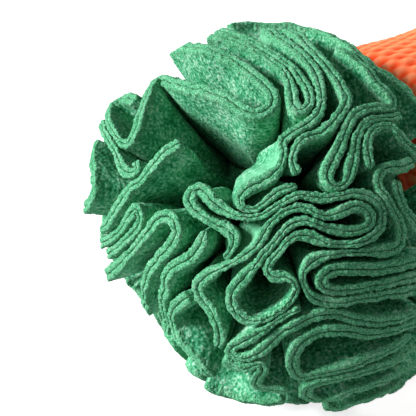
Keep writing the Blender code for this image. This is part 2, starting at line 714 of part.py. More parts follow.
def add_tail_cap():
    """The knit drawn together over the tip."""
    last = body_stations()[-1]
    start = NECK_DISTANCE + BODY_LENGTH + SEAM_GAP
    rings = []
    for step in range(TIP_STEPS + 1):
        angle = TIP_SWEEP * step / TIP_STEPS
        radius = last[1] * math.cos(angle)
        place = start + TIP_LENGTH * math.sin(angle)
        rings.append(station_ring((place, radius, last[2], last[3])))
    tube_of_rings("tail_cap", rings, "orange_knit")


def bellows_profile():
    """A zigzag wall, out of one side and back in along the other."""
    low = SQUEAKER_PLATE + SEAT_GAP
    high = SQUEAKER_HEIGHT - SQUEAKER_PLATE - SEAT_GAP
    outer, inner = [], []
    for step in range(2 * BELLOWS_FOLDS + 1):
        along = low + (high - low) * step / (2 * BELLOWS_FOLDS)
        radius = SQUEAKER_RADIUS - BELLOWS_FOLD * (step % 2)
        outer.append((radius, along))
        inner.append((radius - BELLOWS_WALL, along))
    return outer + inner[::-1]


def add_squeaker():
    place = squeaker_place()
    bore = REED_HOLDER_RADIUS + SEAT_GAP
    base = [(bore, 0.0), (SQUEAKER_RADIUS, 0.0), (SQUEAKER_RADIUS, SQUEAKER_PLATE), (bore, SQUEAKER_PLATE)]
    turned("squeaker_base", base, place, "Z", "soft_plastic", closed=True)
    under, over = SQUEAKER_HEIGHT - SQUEAKER_PLATE, SQUEAKER_HEIGHT
    top = [
        (0.0, under),
        (SQUEAKER_RADIUS, under),
        (SQUEAKER_RADIUS, over - SQUEAKER_EDGE),
        (SQUEAKER_RADIUS - SQUEAKER_EDGE, over),
        (0.0, over),
    ]
    turned("squeaker_top", top, place, "Z", "soft_plastic")
    turned("squeaker_bellows", bellows_profile(), place, "Z", "soft_plastic", closed=True)
    inner = REED_HOLDER_RADIUS - REED_HOLDER_WALL
    holder = [(inner, 0.0), (REED_HOLDER_RADIUS, 0.0)]
    holder += [(REED_HOLDER_RADIUS, REED_HOLDER_HEIGHT), (inner, REED_HOLDER_HEIGHT)]
    turned("reed_holder", holder, place, "Z", "reed_plastic", closed=True)
    add_reed(place, inner - SEAT_GAP)


def add_reed(place, half_width):
    bm = bmesh.new()
    bmesh.ops.create_cube(bm, size=1.0)
    size = Vector((2 * half_width, REED_THICKNESS, REED_HOLDER_HEIGHT - 2 * REED_HOLDER_WALL))
    bmesh.ops.scale(bm, vec=size, verts=bm.verts)
    bmesh.ops.translate(bm, vec=place + Vector((0.0, 0.0, REED_HOLDER_HEIGHT / 2)), verts=bm.verts)
    finish("reed", bm, "reed_plastic", smooth=False)


def centre_length():
    """Moves the whole toy along x, so that its length is centred on the origin."""
    things = list(bpy.data.objects)
    places = [vert.co.x for thing in things for vert in thing.data.vertices]
    shift = Matrix.Translation((-(min(places) + max(places)) / 2, 0.0, 0.0))
    for thing in things:
        thing.data.transform(shift)


def main():
    for thing in list(bpy.data.objects):
        bpy.data.objects.remove(thing, do_unlink=True)
    add_materials()
    add_ruffles()
    add_bulb()
    add_neck_cord()
    add_gores()
    add_tail_cap()
    add_lining()
    add_stuffing()
    add_squeaker()
    centre_length()


main()
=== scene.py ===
"""The looks of a plush snuffle toy shaped like a carrot: green fleece ruffles and an orange knit body.

The ruffles' routes are those of the part's source, in the same pixels, so each piece lies where its solid is.
"""

import math

import bpy
import numpy as np
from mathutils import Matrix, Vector


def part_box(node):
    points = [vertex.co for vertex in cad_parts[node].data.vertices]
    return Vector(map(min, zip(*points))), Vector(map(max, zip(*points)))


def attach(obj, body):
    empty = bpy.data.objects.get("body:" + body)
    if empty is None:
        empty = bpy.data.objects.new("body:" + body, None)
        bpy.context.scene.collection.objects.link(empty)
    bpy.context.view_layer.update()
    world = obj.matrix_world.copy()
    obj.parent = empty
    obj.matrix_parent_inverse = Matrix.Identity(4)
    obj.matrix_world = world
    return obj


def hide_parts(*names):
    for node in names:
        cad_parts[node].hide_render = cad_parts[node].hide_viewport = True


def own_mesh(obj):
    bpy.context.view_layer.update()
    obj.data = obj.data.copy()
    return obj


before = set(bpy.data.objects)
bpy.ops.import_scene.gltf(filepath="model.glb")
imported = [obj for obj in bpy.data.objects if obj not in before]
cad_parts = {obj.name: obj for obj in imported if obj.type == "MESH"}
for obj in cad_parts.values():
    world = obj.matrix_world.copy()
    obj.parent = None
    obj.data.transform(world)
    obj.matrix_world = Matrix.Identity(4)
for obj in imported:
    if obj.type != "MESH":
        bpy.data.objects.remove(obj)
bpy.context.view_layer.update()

MM = 0.001
TINY = 1e-9

# Ball of ruffles, as in the part's source
BALL_RADIUS = 75 * MM
BULB_RADIUS = 32 * MM
REST_CUT = 0.5 * MM
BALL_CENTRE = np.array([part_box("ruffle_base_bulb")[0][0] + BULB_RADIUS, 0.0, BALL_RADIUS - REST_CUT])
ROOT_RADIUS = 32.3 * MM
RUFFLE_GAP = 0.5 * MM
OWN_RUN = 13 * MM
RUFFLE_CLEAR_DEG = 57

# Fleece: how thick a ply is at most and at least, half the groove between two plies, and how uneven the
# cut edge, the walls and the nap are, as heights and the lengths of their waves. The nap's waves have
# shares of its height. The two steps are along a ruffle that the picture shows and along another.
PLY = 2.6 * MM
PLY_LEAST = 0.9 * MM
GROOVE = 0.05 * MM
GROOVE_LENGTH = 5 * MM
EDGE_LUMP = 0.35 * MM
EDGE_LUMP_LENGTH = 9 * MM
EDGE_DRIFT = 0.18 * MM
EDGE_DRIFT_LENGTH = 2.6 * MM
WALL_SWAY = 1.3 * MM
WALL_SWAY_LENGTH = 26 * MM
FLEECE_NUB = 0.24 * MM
NUB_LIFT = 0.6 * MM
NUB_WAVES = [(0.6, 3.3 * MM), (0.7, 1.7 * MM), (0.5, 1.1 * MM)]
FINE_STEP = 0.45 * MM
COARSE_STEP = 0.9 * MM

# The picture's view of the ball
VIEW_AZIMUTH_DEG = -45
VIEW_ELEVATION_DEG = 25
VIEW_DISTANCE = 800 * MM
BALL_CIRCLE_PIXELS = (283, 217, 190)
BEHIND_DEG = 150
FRAME_PIXELS = 416

# Body
NECK_DISTANCE = 43 * MM
MOUTH_RADIUS = 27 * MM
MOUTH_GAP = 0.9 * MM
NECK_CORD_RADIUS = 1.5 * MM
BULB_WALL = 2 * MM
DISC_EDGE = 0.5 * MM
POLE_HOLE = 0.4 * MM
SHOULDER_RADIUS = 64.5 * MM
BODY_LENGTH = 258 * MM
KNIT_THICKNESS = 3 * MM
LINING_THICKNESS = 1 * MM
LAYER_GAP = 0.3 * MM
SEAM_GAP = 0.4 * MM
TIP_LENGTH = 12 * MM
TIP_SWEEP = math.radians(78)
KNIT_REPEAT = 16.9 * MM
KNIT_ROW = 6 * MM
KNIT_DEPTH = 1.8 * MM
GORE_NAMES = ("belly", "left", "back", "right")
BODY_STATION_SHARES = [
    (0.004, 0.66, 0.98), (0.020, 0.84, 0.92), (0.050, 0.935, 0.72), (0.105, 0.982, 0.32),
    (0.20, 1.0, 0.0), (0.34, 1.0, 0.0), (0.48, 0.935, 0.0), (0.62, 0.815, 0.0),
    (0.75, 0.665, 0.0), (0.86, 0.51, 0.0), (0.94, 0.385, 0.0), (1.0, 0.25, 0.0),
]
BODY_STEP = 1.3 * MM

# Squeaker in the body's middle
SQUEAKER_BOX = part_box("squeaker_base")
SQUEAKER_X = (SQUEAKER_BOX[0][0] + SQUEAKER_BOX[1][0]) / 2
SQUEAKER_LOW = SQUEAKER_BOX[0][2]
SQUEAKER_RADIUS = 25 * MM
SQUEAKER_HEIGHT = 24 * MM
SQUEAKER_PLATE = 4 * MM
BELLOWS_GAP = 0.3 * MM
BELLOWS_WALL = 1.2 * MM
BELLOWS_FOLD = 2.4 * MM
BELLOWS_FOLDS = 4

# Routes of the ruffles' top edges, in the picture's pixels
SEEN_RUFFLES = {
    "top_edge": [
        (224, 23), (236, 21), (250, 20), (266, 20), (284, 20), (300, 22), (316, 27), (330, 33), (343, 40),
        (354, 48), (364, 56), (374, 64), (385, 71), (395, 77), (404, 84), (413, 93), (422, 102), (430, 112),
        (435, 121),
    ],
    "bottom_right_edge": [
        (327, 407), (345, 407), (362, 401), (381, 394), (400, 386), (414, 376), (425, 367),
    ],
    "crown_hairpin": [
        (169, 49), (184, 46), (200, 47), (215, 51), (230, 58), (243, 67), (255, 76), (264, 84), (270, 93),
        (270, 102), (263, 109), (252, 112), (240, 108), (225, 98), (205, 91), (188, 87), (170, 83),
        (157, 79), (149, 84), (145, 94), (141, 105), (137, 117), (134, 128), (131, 137), (126, 144),
        (119, 144), (113, 136), (108, 127), (105, 118), (105, 109), (111, 102), (121, 98), (131, 100),
    ],
    "left_curl": [
        (98, 124), (102, 134), (108, 144), (114, 153), (118, 162), (121, 170), (128, 174), (135, 170),
        (134, 161),
    ],
    "crown_fold": [
        (203, 35), (220, 36), (235, 41), (248, 47), (258, 52), (268, 58), (277, 65), (284, 73), (288, 82),
        (290, 92), (292, 102), (299, 108), (306, 104), (309, 96), (306, 87), (302, 80), (296, 72),
        (288, 64), (279, 57), (268, 50), (256, 43), (243, 37), (229, 32), (214, 28),
    ],
    "long_fold": [
        (262, 27), (278, 36), (290, 45), (299, 52), (307, 61), (313, 70), (318, 82), (320, 94), (319, 105),
        (315, 114), (307, 121), (297, 127), (287, 133), (281, 140), (283, 149), (281, 160), (275, 170),
        (265, 178), (254, 183), (246, 188), (240, 195), (240, 203), (246, 208), (255, 208), (263, 203),
        (270, 196), (278, 190), (288, 186), (297, 184),
    ],
    "right_fold": [
        (284, 27), (296, 33), (304, 41), (312, 49), (320, 58), (328, 67), (335, 76), (341, 86), (345, 97),
        (342, 106), (337, 113), (331, 121), (322, 129), (311, 133), (301, 138), (295, 146), (292, 155),
        (293, 164), (298, 172),
    ],
    "shoulder_loop": [
        (335, 44), (345, 50), (356, 58), (366, 67), (375, 77), (384, 86), (391, 95), (391, 103), (383, 104),
        (372, 104), (361, 107), (352, 113), (347, 122), (343, 132), (339, 143), (334, 154), (329, 165),
        (327, 175), (331, 182), (338, 184), (345, 181), (349, 174), (351, 165), (353, 155), (354, 145),
        (356, 134), (361, 124), (369, 117), (379, 114), (390, 114), (400, 111),
    ],
    "neck_fold": [
        (370, 165), (369, 157), (367, 147), (367, 137), (370, 129), (377, 124), (384, 122), (391, 124),
        (397, 130), (403, 136), (409, 142), (416, 148), (424, 152),
    ],
    "middle_labyrinth": [
        (219, 348), (222, 340), (221, 330), (217, 320), (212, 312), (206, 305), (201, 297), (199, 288),
        (202, 281), (212, 273), (227, 266), (241, 258), (253, 249), (262, 238), (269, 224), (278, 215),
        (287, 209), (296, 206), (305, 206), (313, 209), (321, 213), (329, 214), (338, 211), (346, 207),
        (354, 204), (361, 204), (368, 208), (371, 214), (370, 221), (364, 226), (352, 229), (340, 228),
        (328, 226), (317, 222), (307, 219), (298, 220), (290, 224), (283, 231), (276, 240), (267, 250),
        (259, 261), (250, 272), (241, 282), (234, 292), (233, 303), (238, 312), (247, 319), (257, 321),
        (268, 318), (279, 312), (288, 305), (295, 296), (298, 286), (293, 278), (284, 276), (275, 276),
        (269, 270), (271, 262), (278, 253), (284, 245), (291, 238), (300, 234), (310, 235), (322, 239),
        (335, 242), (350, 242), (363, 239), (374, 233), (381, 224), (384, 213), (381, 203), (373, 195),
        (362, 191), (350, 191), (338, 194), (325, 196), (313, 195), (301, 193), (291, 196), (281, 202),
        (272, 208), (263, 214), (250, 217), (236, 215), (223, 209), (214, 203), (207, 195), (200, 189),
        (192, 191), (189, 199), (193, 208), (202, 216), (214, 223), (226, 229), (234, 235), (234, 244),
        (230, 252), (224, 259),
    ],
    "side_loop": [
        (412, 158), (403, 163), (394, 163), (385, 165), (380, 170), (378, 178), (381, 187), (387, 195),
        (392, 203), (397, 211), (401, 221), (403, 232), (400, 242), (390, 247), (375, 249), (360, 250),
        (345, 251), (332, 253), (321, 256), (312, 261), (306, 268), (304, 277), (307, 286), (313, 294),
        (322, 299), (333, 301), (347, 300), (362, 297), (378, 294), (395, 291), (412, 288), (428, 284),
    ],
    "side_tongue": [(396, 176), (397, 186), (400, 195), (405, 204), (411, 213), (419, 222), (428, 230)],
    "side_hairpin": [
        (432, 253), (416, 258), (402, 262), (388, 265), (372, 267), (356, 267), (343, 267), (332, 269),
        (325, 274), (323, 281), (329, 287), (340, 289), (353, 288), (367, 285), (381, 282), (395, 279),
        (407, 276), (420, 272), (434, 267),
    ],
    "lower_hairpin": [
        (303, 307), (296, 310), (288, 315), (278, 321), (268, 328), (257, 335), (245, 342), (236, 347),
        (232, 352), (238, 357), (248, 358), (258, 354), (268, 347), (277, 339), (286, 331), (296, 325),
        (307, 320), (318, 315), (330, 313), (343, 314), (356, 317), (370, 319), (384, 319), (397, 317),
        (409, 314), (422, 308),
    ],
    "lower_loop": [
        (426, 316), (414, 322), (402, 326), (390, 330), (375, 332), (360, 331), (345, 329), (330, 330),
        (317, 334), (305, 341), (298, 350), (295, 360), (297, 370), (304, 377), (318, 374), (335, 370),
        (352, 365), (370, 358), (386, 351), (400, 343), (414, 333),
    ],
    "bottom_hairpin": [
        (424, 341), (412, 350), (400, 358), (385, 364), (370, 369), (355, 374), (340, 378), (325, 381),
        (314, 385), (309, 391), (312, 397), (321, 400), (332, 399), (345, 394), (360, 388), (378, 382),
        (396, 375), (410, 367), (422, 358),
    ],
    "left_ridge": [
        (178, 142), (172, 146), (164, 151), (157, 159), (151, 167), (146, 174), (140, 181), (132, 186),
        (126, 192), (121, 199), (117, 206), (113, 214), (109, 222), (101, 230),
    ],
    "far_left_edge": [
        (94, 142), (91, 151), (90, 161), (91, 172), (92, 184), (91, 194), (88, 203), (82, 210),
    ],
    "left_fold": [
        (100, 246), (113, 238), (122, 228), (129, 216), (135, 210), (138, 217), (136, 228), (128, 239),
        (118, 248), (106, 257),
    ],
    "left_arch": [
        (103, 279), (117, 267), (128, 256), (137, 246), (145, 236), (151, 227), (158, 219), (166, 217),
        (173, 221), (176, 230), (174, 240), (168, 249), (161, 257), (154, 265), (149, 273), (146, 282),
        (145, 292), (145, 303), (147, 314),
    ],
    "left_wave": [
        (205, 231), (203, 238), (200, 245), (196, 252), (190, 259), (181, 264), (172, 270), (167, 279),
        (165, 290), (164, 302), (166, 315), (168, 327),
    ],
    "lower_left_wave": [
        (190, 299), (181, 303), (174, 308), (172, 316), (174, 326), (178, 336), (184, 346), (191, 355),
        (199, 363), (207, 371), (215, 379),
    ],
    "bottom_curl": [
        (224, 362), (232, 366), (241, 369), (249, 369), (257, 365), (264, 365), (265, 372), (260, 378),
        (259, 385), (267, 389), (279, 390), (292, 391),
    ],
    "bottom_edge": [(206, 387), (220, 394), (235, 399), (252, 402), (270, 403), (288, 403)],
}

# Rows of ruffles round the neck where the picture doesn't reach: degrees from the body's axis,
# share of the ball's radius, and degrees from and to round the axis
UNSEEN_ROWS = {
    "collar": (65, 1.0, 178, 404),
    "collar_top": (65, 0.82, 50, 84),
    "collar_low": (65, 0.62, 129, 171),
    "back_row_1": (83, 1.0, 147, 507),
    "back_row_2": (101, 1.0, 147, 507),
    "back_row_3": (119, 1.0, 147, 507),
    "back_row_4": (136, 1.0, 147, 507),
}
HIDDEN_FROM_DEG = 88
FRAME_RIGHT_PIXEL = 426
ROW_SHARES = {"wave": 42 / 75, "clearance": 5.6 / 75, "least length": 22 / 75, "step": 1 / 75, "sway": 1.7}
ROW_SWEEP_DEG = 88
ROW_SWAY_DEG = 9

# Where the ball stands out or is pressed in: middle pixel, share of the radius, reach in pixels.
# The rows near its outline that the picture doesn't show are sunk a little, so that the shown ones make it.
BULGES = [
    ((375, 400), 0.085, 62),
    ((98, 125), 0.09, 48),
    ((195, 38), 0.085, 42),
    ((170, 66), -0.06, 20),
    ((82, 195), 0.06, 36),
    ((143, 318), -0.13, 58),
]
BULGE_DEPTH_SHARE = 0.35
ROW_SINK_SHARE = 0.035

# Where the ruffles lean: middle pixel, shift of their lower parts in pixels, reach in pixels
LEANS = [
    ((264, 160), (-38, -15), 46),
    ((252, 246), (-36, -8), 42),
    ((256, 24), (6, 24), 28),
]

# Where the nap lies flat and looks smooth, and the fleece is painted paler as painted light: middle pixel,
# reach in pixels
FLAT_NAP_PAINTED_LIGHT_SPOTS = [
    ((259, 166), 29),
    ((247, 247), 26),
    ((262, 28), 30),
    ((152, 318), 22),
]


def units(vectors):
    """The vectors, each made one long."""
    return vectors / np.linalg.norm(vectors, axis=-1, keepdims=True)


def view_axes():
    """The picture's right, up and towards-the-eye directions."""
    turn = math.radians(VIEW_AZIMUTH_DEG)
    tilt = math.radians(VIEW_ELEVATION_DEG)
    back = np.array([math.sin(turn) * math.cos(tilt), -math.cos(turn) * math.cos(tilt), math.sin(tilt)])
    right = np.array([math.cos(turn), math.sin(turn), 0.0])
    return right, np.cross(back, right), back


RIGHT, UP, BACK = view_axes()
LIMB = BALL_RADIUS * VIEW_DISTANCE / math.sqrt(VIEW_DISTANCE**2 - BALL_RADIUS**2)
ROUTE_STEP = ROW_SHARES["step"] * BALL_RADIUS
BALL_CENTRE_PIXEL = BALL_CIRCLE_PIXELS[:2]
PIXEL_SHARE = 1 / BALL_CIRCLE_PIXELS[2]


def growth_at(pixels):
    """The ball's radius where pixels show it, as a share of its plain radius."""
    pixels = np.asarray(pixels, float)
    growth = np.ones(pixels.shape[:-1])
    for middle, depth, reach in BULGES:
        away = np.linalg.norm(pixels - middle, axis=-1) / reach
        growth += depth * np.exp(-(away**2))
    return growth


def crest_point(pixel):
    """The point on the ball's surface that a pixel shows. Past the outline it lies behind and further out."""
    radius = BALL_RADIUS * float(growth_at(pixel))
    limb = radius * VIEW_DISTANCE / math.sqrt(VIEW_DISTANCE**2 - radius**2)
    across = (pixel[0] - BALL_CENTRE_PIXEL[0]) * PIXEL_SHARE * LIMB / limb
    rise = (BALL_CENTRE_PIXEL[1] - pixel[1]) * PIXEL_SHARE * LIMB / limb
    share = max(math.hypot(across, rise), TINY)
    flat = (across * RIGHT + rise * UP) / share
    inside = min(share, 1.0) * limb
    reach = inside**2 + VIEW_DISTANCE**2
    root = VIEW_DISTANCE**4 - reach * (VIEW_DISTANCE**2 - radius**2)
    run = (VIEW_DISTANCE**2 - math.sqrt(max(root, 0.0))) / reach
    point = run * inside * flat + VIEW_DISTANCE * (1 - run) * BACK
    past = math.radians(BEHIND_DEG) * max(share - 1.0, 0.0)
    side, depth = point @ flat, point @ BACK
    turned_side = side * math.cos(past) + depth * math.sin(past)
    turned_depth = depth * math.cos(past) - side * math.sin(past)
    growth = max(share, 1.0) * side / turned_side
    return (turned_side * flat + turned_depth * BACK) * growth


def smooth_curve(points, step):
    """A Catmull-Rom curve through the points, as a row of points about a step apart."""
    padded = [2 * points[0] - points[1], *points, 2 * points[-1] - points[-2]]
    curve = []
    for before, start, end, after in zip(padded, padded[1:], padded[2:], padded[3:]):
        count = max(2, math.ceil(np.linalg.norm(end - start) / step))
        for t in np.arange(count) / count:
            second = (2 * before - 5 * start + 4 * end - after) * t**2
            third = (3 * start - before - 3 * end + after) * t**3
            curve.append((2 * start + (end - before) * t + second + third) / 2)
    curve.append(points[-1])
    return np.array(curve)


def row_route(polar_deg, share, from_deg, to_deg):
    """A meander along a circle round the body's axis."""
    polar = math.radians(polar_deg)
    circle = BALL_RADIUS * math.sin(polar)
    length = math.radians(to_deg - from_deg) * circle
    along, aside, run = 0.0, 0.0, 0.0
    points = []
    sweep = math.radians(ROW_SWEEP_DEG)
    sway = math.radians(ROW_SWAY_DEG)
    while along < length:
        around = math.radians(from_deg) + along / circle
        down = polar + aside / BALL_RADIUS
        flat = np.array([0.0, math.cos(around), math.sin(around)])
        direction = math.sin(down) * flat + np.array([math.cos(down), 0.0, 0.0])
        points.append(direction * BALL_RADIUS * share)
        phase = 2 * math.pi * run / (ROW_SHARES["wave"] * BALL_RADIUS)
        heading = sweep * math.cos(phase) + sway * math.sin(ROW_SHARES["sway"] * phase + polar_deg)
        along += ROUTE_STEP * math.cos(heading)
        aside += ROUTE_STEP * math.sin(heading)
        run += ROUTE_STEP
    return np.array(points)


def on_ball(route):
    """A route's points moved in or out to the plain ball."""
    return units(route) * BALL_RADIUS


def run_along(points):
    """How far along a row of points each one is."""
    return np.concatenate([[0.0], np.cumsum(np.linalg.norm(np.diff(points, axis=0), axis=1))])


def pixels_of(route):
    """Where the picture shows a route's points, or would if nothing hid them."""
    size = VIEW_DISTANCE / (VIEW_DISTANCE - route @ BACK) / LIMB / PIXEL_SHARE
    return np.stack(
        [BALL_CENTRE_PIXEL[0] + route @ RIGHT * size, BALL_CENTRE_PIXEL[1] - route @ UP * size], axis=-1
    )


def beyond_picture(route):
    """True for each point that the picture doesn't show."""
    behind = route @ BACK < BALL_RADIUS * math.cos(math.radians(HIDDEN_FROM_DEG))
    return behind | (pixels_of(route)[:, 0] > FRAME_RIGHT_PIXEL)


def unseen_routes(seen):
    """The rows, each broken off where it would run into a ruffle that the picture shows."""
    shown = on_ball(np.concatenate(list(seen.values())))
    routes = {}
    for row, (polar_deg, share, from_deg, to_deg) in UNSEEN_ROWS.items():
        route = row_route(polar_deg, share, from_deg, to_deg)
        spread = on_ball(route)
        away = np.linalg.norm(spread[:, None] - shown[None], axis=2).min(axis=1)
        free = (away > ROW_SHARES["clearance"] * BALL_RADIUS) & (beyond_picture(spread) | (share < 1.0))
        ends = np.flatnonzero(np.diff(np.concatenate([[False], free, [False]]).astype(int)))
        near = np.exp(-((spread @ BACK / BALL_RADIUS / BULGE_DEPTH_SHARE) ** 2))
        route = route * (1 + (growth_at(pixels_of(spread)) - 1 - ROW_SINK_SHARE) * near)[:, None]
        stretches = [route[low:high] for low, high in zip(ends[::2], ends[1::2])]
        wide = [piece for piece in stretches if len(piece) * ROW_SHARES["step"] > ROW_SHARES["least length"]]
        for count, piece in enumerate(wide, start=1):
            routes[row if len(wide) == 1 else f"{row}_{count}"] = piece
    return routes


def all_routes():
    """The shown ruffles' routes and the rows behind them, by name."""
    routes = {
        name: smooth_curve([crest_point(pixel) for pixel in pixels], ROUTE_STEP)
        for name, pixels in SEEN_RUFFLES.items()
    }
    routes.update(unseen_routes(routes))
    return routes


def free_distances(routes):
    """For each route, how far each of its points is from another ruffle or a far stretch of its own."""
    found = {}
    spread = {name: on_ball(route) for name, route in routes.items()}
    for name, route in spread.items():
        others = np.concatenate([other for key, other in spread.items() if key != name])
        away = np.linalg.norm(route[:, None] - others[None], axis=2).min(axis=1)
        run = run_along(route)
        own = np.linalg.norm(route[:, None] - route[None], axis=2)
        own[np.abs(run[:, None] - run[None]) < OWN_RUN] = np.inf
        found[name] = np.minimum(away, own.min(axis=1))
    return found


def leaning(directions, share):
    """Where the ruffles' lower parts go, for directions of their top edges, with a share of the lean."""
    shift = np.zeros_like(directions)
    for middle, pixels, reach in LEANS:
        centre = units(crest_point(middle))
        away = np.linalg.norm(directions - centre, axis=-1, keepdims=True) / (reach * PIXEL_SHARE)
        aim = (pixels[0] * RIGHT - pixels[1] * UP) * PIXEL_SHARE
        shift += aim * np.exp(-(away**2))
    return units(directions + shift * share)


def kept_clear(points):
    """Points drawn in along their radii to stay above the floor and clear of the body."""
    floor = BALL_RADIUS - REST_CUT
    low = np.where(points[:, 2] < -floor, -floor / np.minimum(points[:, 2], -MM), 1.0)
    most = BALL_RADIUS * math.cos(math.radians(RUFFLE_CLEAR_DEG))
    near = np.where(points[:, 0] > most, most / np.maximum(points[:, 0], MM), 1.0)
    return points * np.minimum(low, near)[:, None]


def waves(points, length, seed, count=18):
    """Smooth noise of about -1 to 1: sine waves of one length in many directions."""
    draw = np.random.default_rng(seed)
    turns = units(draw.normal(size=(count, 3))) * 2 * math.pi / length
    phases = draw.uniform(0, 2 * math.pi, count)
    return np.sin(points @ turns.T + phases).sum(axis=-1) / math.sqrt(count)


def smoothed(values, passes):
    """Values along a route, each drawn towards its neighbours."""
    for _ in range(passes):
        values = np.concatenate(
            [values[:1], (values[:-2] + 2 * values[1:-1] + values[2:]) / 4, values[-1:]]
        )
    return values


def least_near(values, reach):
    """The least of the values within a few places."""
    padded = np.pad(values, reach, mode="edge")
    return np.min([padded[k : k + len(values)] for k in range(2 * reach + 1)], axis=0)


def stand_in(piece, node):
    """Put a piece in a solid's place, riding on the toy."""
    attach(piece, "toy")
    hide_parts(node)


def full_turn(count):
    """Angles all the way round, one for each point."""
    return np.linspace(0, 2 * math.pi, count, endpoint=False)


def solid(name, rings, material, marks=None, joined=False):
    """A closed piece skinned over rings of points. Marks are values kept at the points for the material."""
    count, size = rings.shape[:2]
    index = np.arange(count * size).reshape(count, size)
    if joined:
        index = np.concatenate([index, index[:1]])
    turned = np.roll(index, -1, axis=1)
    quads = np.stack([index[:-1], turned[:-1], turned[1:], index[1:]], axis=-1).reshape(-1, 4)
    points = rings.reshape(-1, 3)
    corners = points[quads] - points.mean(axis=0)
    volume = np.einsum("ij,ij->", corners[:, 0], np.cross(corners[:, 1], corners[:, 2]))
    volume += np.einsum("ij,ij->", corners[:, 0], np.cross(corners[:, 2], corners[:, 3]))
    faces = quads.tolist()
    if not joined:
        faces += [index[0][::-1].tolist(), index[-1].tolist()]
    if volume < 0:
        faces = [face[::-1] for face in faces]
    mesh = bpy.data.meshes.new(name)
    mesh.from_pydata(points.tolist(), [], faces)
    mesh.shade_smooth()
    for mark, values in (marks or {}).items():
        layer = mesh.attributes.new(mark, "FLOAT", "POINT")
        layer.data.foreach_set("value", values.ravel().astype(np.float32))
    mesh.materials.append(material)
    piece = bpy.data.objects.new(name, mesh)
    bpy.context.scene.collection.objects.link(piece)
    return piece


def modify(piece, kind, **settings):
    """Give the active piece a modifier and apply it."""
    modifier = piece.modifiers.new(kind.lower(), kind)
    for key, value in settings.items():
        setattr(modifier, key, value)
    bpy.ops.object.modifier_apply(modifier=modifier.name)


def linear(colour):
    """A hex colour as the linear values that Blender's sockets take."""
    shares = [int(colour[place : place + 2], 16) / 255 for place in (1, 3, 5)]
    return (*(s / 12.92 if s <= 0.04045 else ((s + 0.055) / 1.055) ** 2.4 for s in shares), 1.0)


def feed(node, sockets):
    """Fill a node's inputs with numbers or hex colours, or link an output or a node's first output."""
    for key, value in sockets.items():
        if isinstance(value, bpy.types.Node):
            value = value.outputs[0]
        if isinstance(value, bpy.types.NodeSocket):
            node.id_data.links.new(value, node.inputs[key])
        else:
            node.inputs[key].default_value = linear(value) if isinstance(value, str) else value


def add(material, kind, sockets=None, stops=(), **settings):
    """A node with its settings, inputs and colour stops."""
    made = material.node_tree.nodes.new(f"ShaderNode{kind}")
    for key, value in settings.items():
        setattr(made, key, value)
    feed(made, sockets or {})
    for count, (place, colour) in enumerate(stops):
        marks = made.color_ramp.elements
        mark = marks[count] if count < 2 else marks.new(place)
        mark.position = place
        mark.color = linear(colour)
    return made


def new_material(name, **sockets):
    """A material and its shader. The sockets hold what is the same all over, with _ for each space."""
    material = bpy.data.materials.new(name)
    material.use_nodes = True
    shader = material.node_tree.nodes["Principled BSDF"]
    feed(shader, {key.replace("_", " "): value for key, value in sockets.items()})
    return material, shader


# Sizes of the patterns. Real fleece has nubs of about 1 mm, and fibres are about 0.02 mm thick. Both are
# too fine for the picture, so they are drawn as coarse as they need to show.
NUB_SIZE = 1.5 * MM
NUB_BEND = 0.6 * MM
NUB_BEND_SIZE = 2.2 * MM
NAP_CURL = 1.1 * MM
NAP_BLOTCH = 9 * MM
NAP_HEIGHT = 0.6 * MM
CUT_FIBRE = 0.55 * MM
YARN_FIBRE = 0.9 * MM
YARN_BLOTCH = 7 * MM
YARN_HEIGHT = 0.3 * MM
PLASTIC_FLOW = 12 * MM
PLASTIC_GRAIN = 0.5 * MM
PLASTIC_HEIGHT = 0.05 * MM


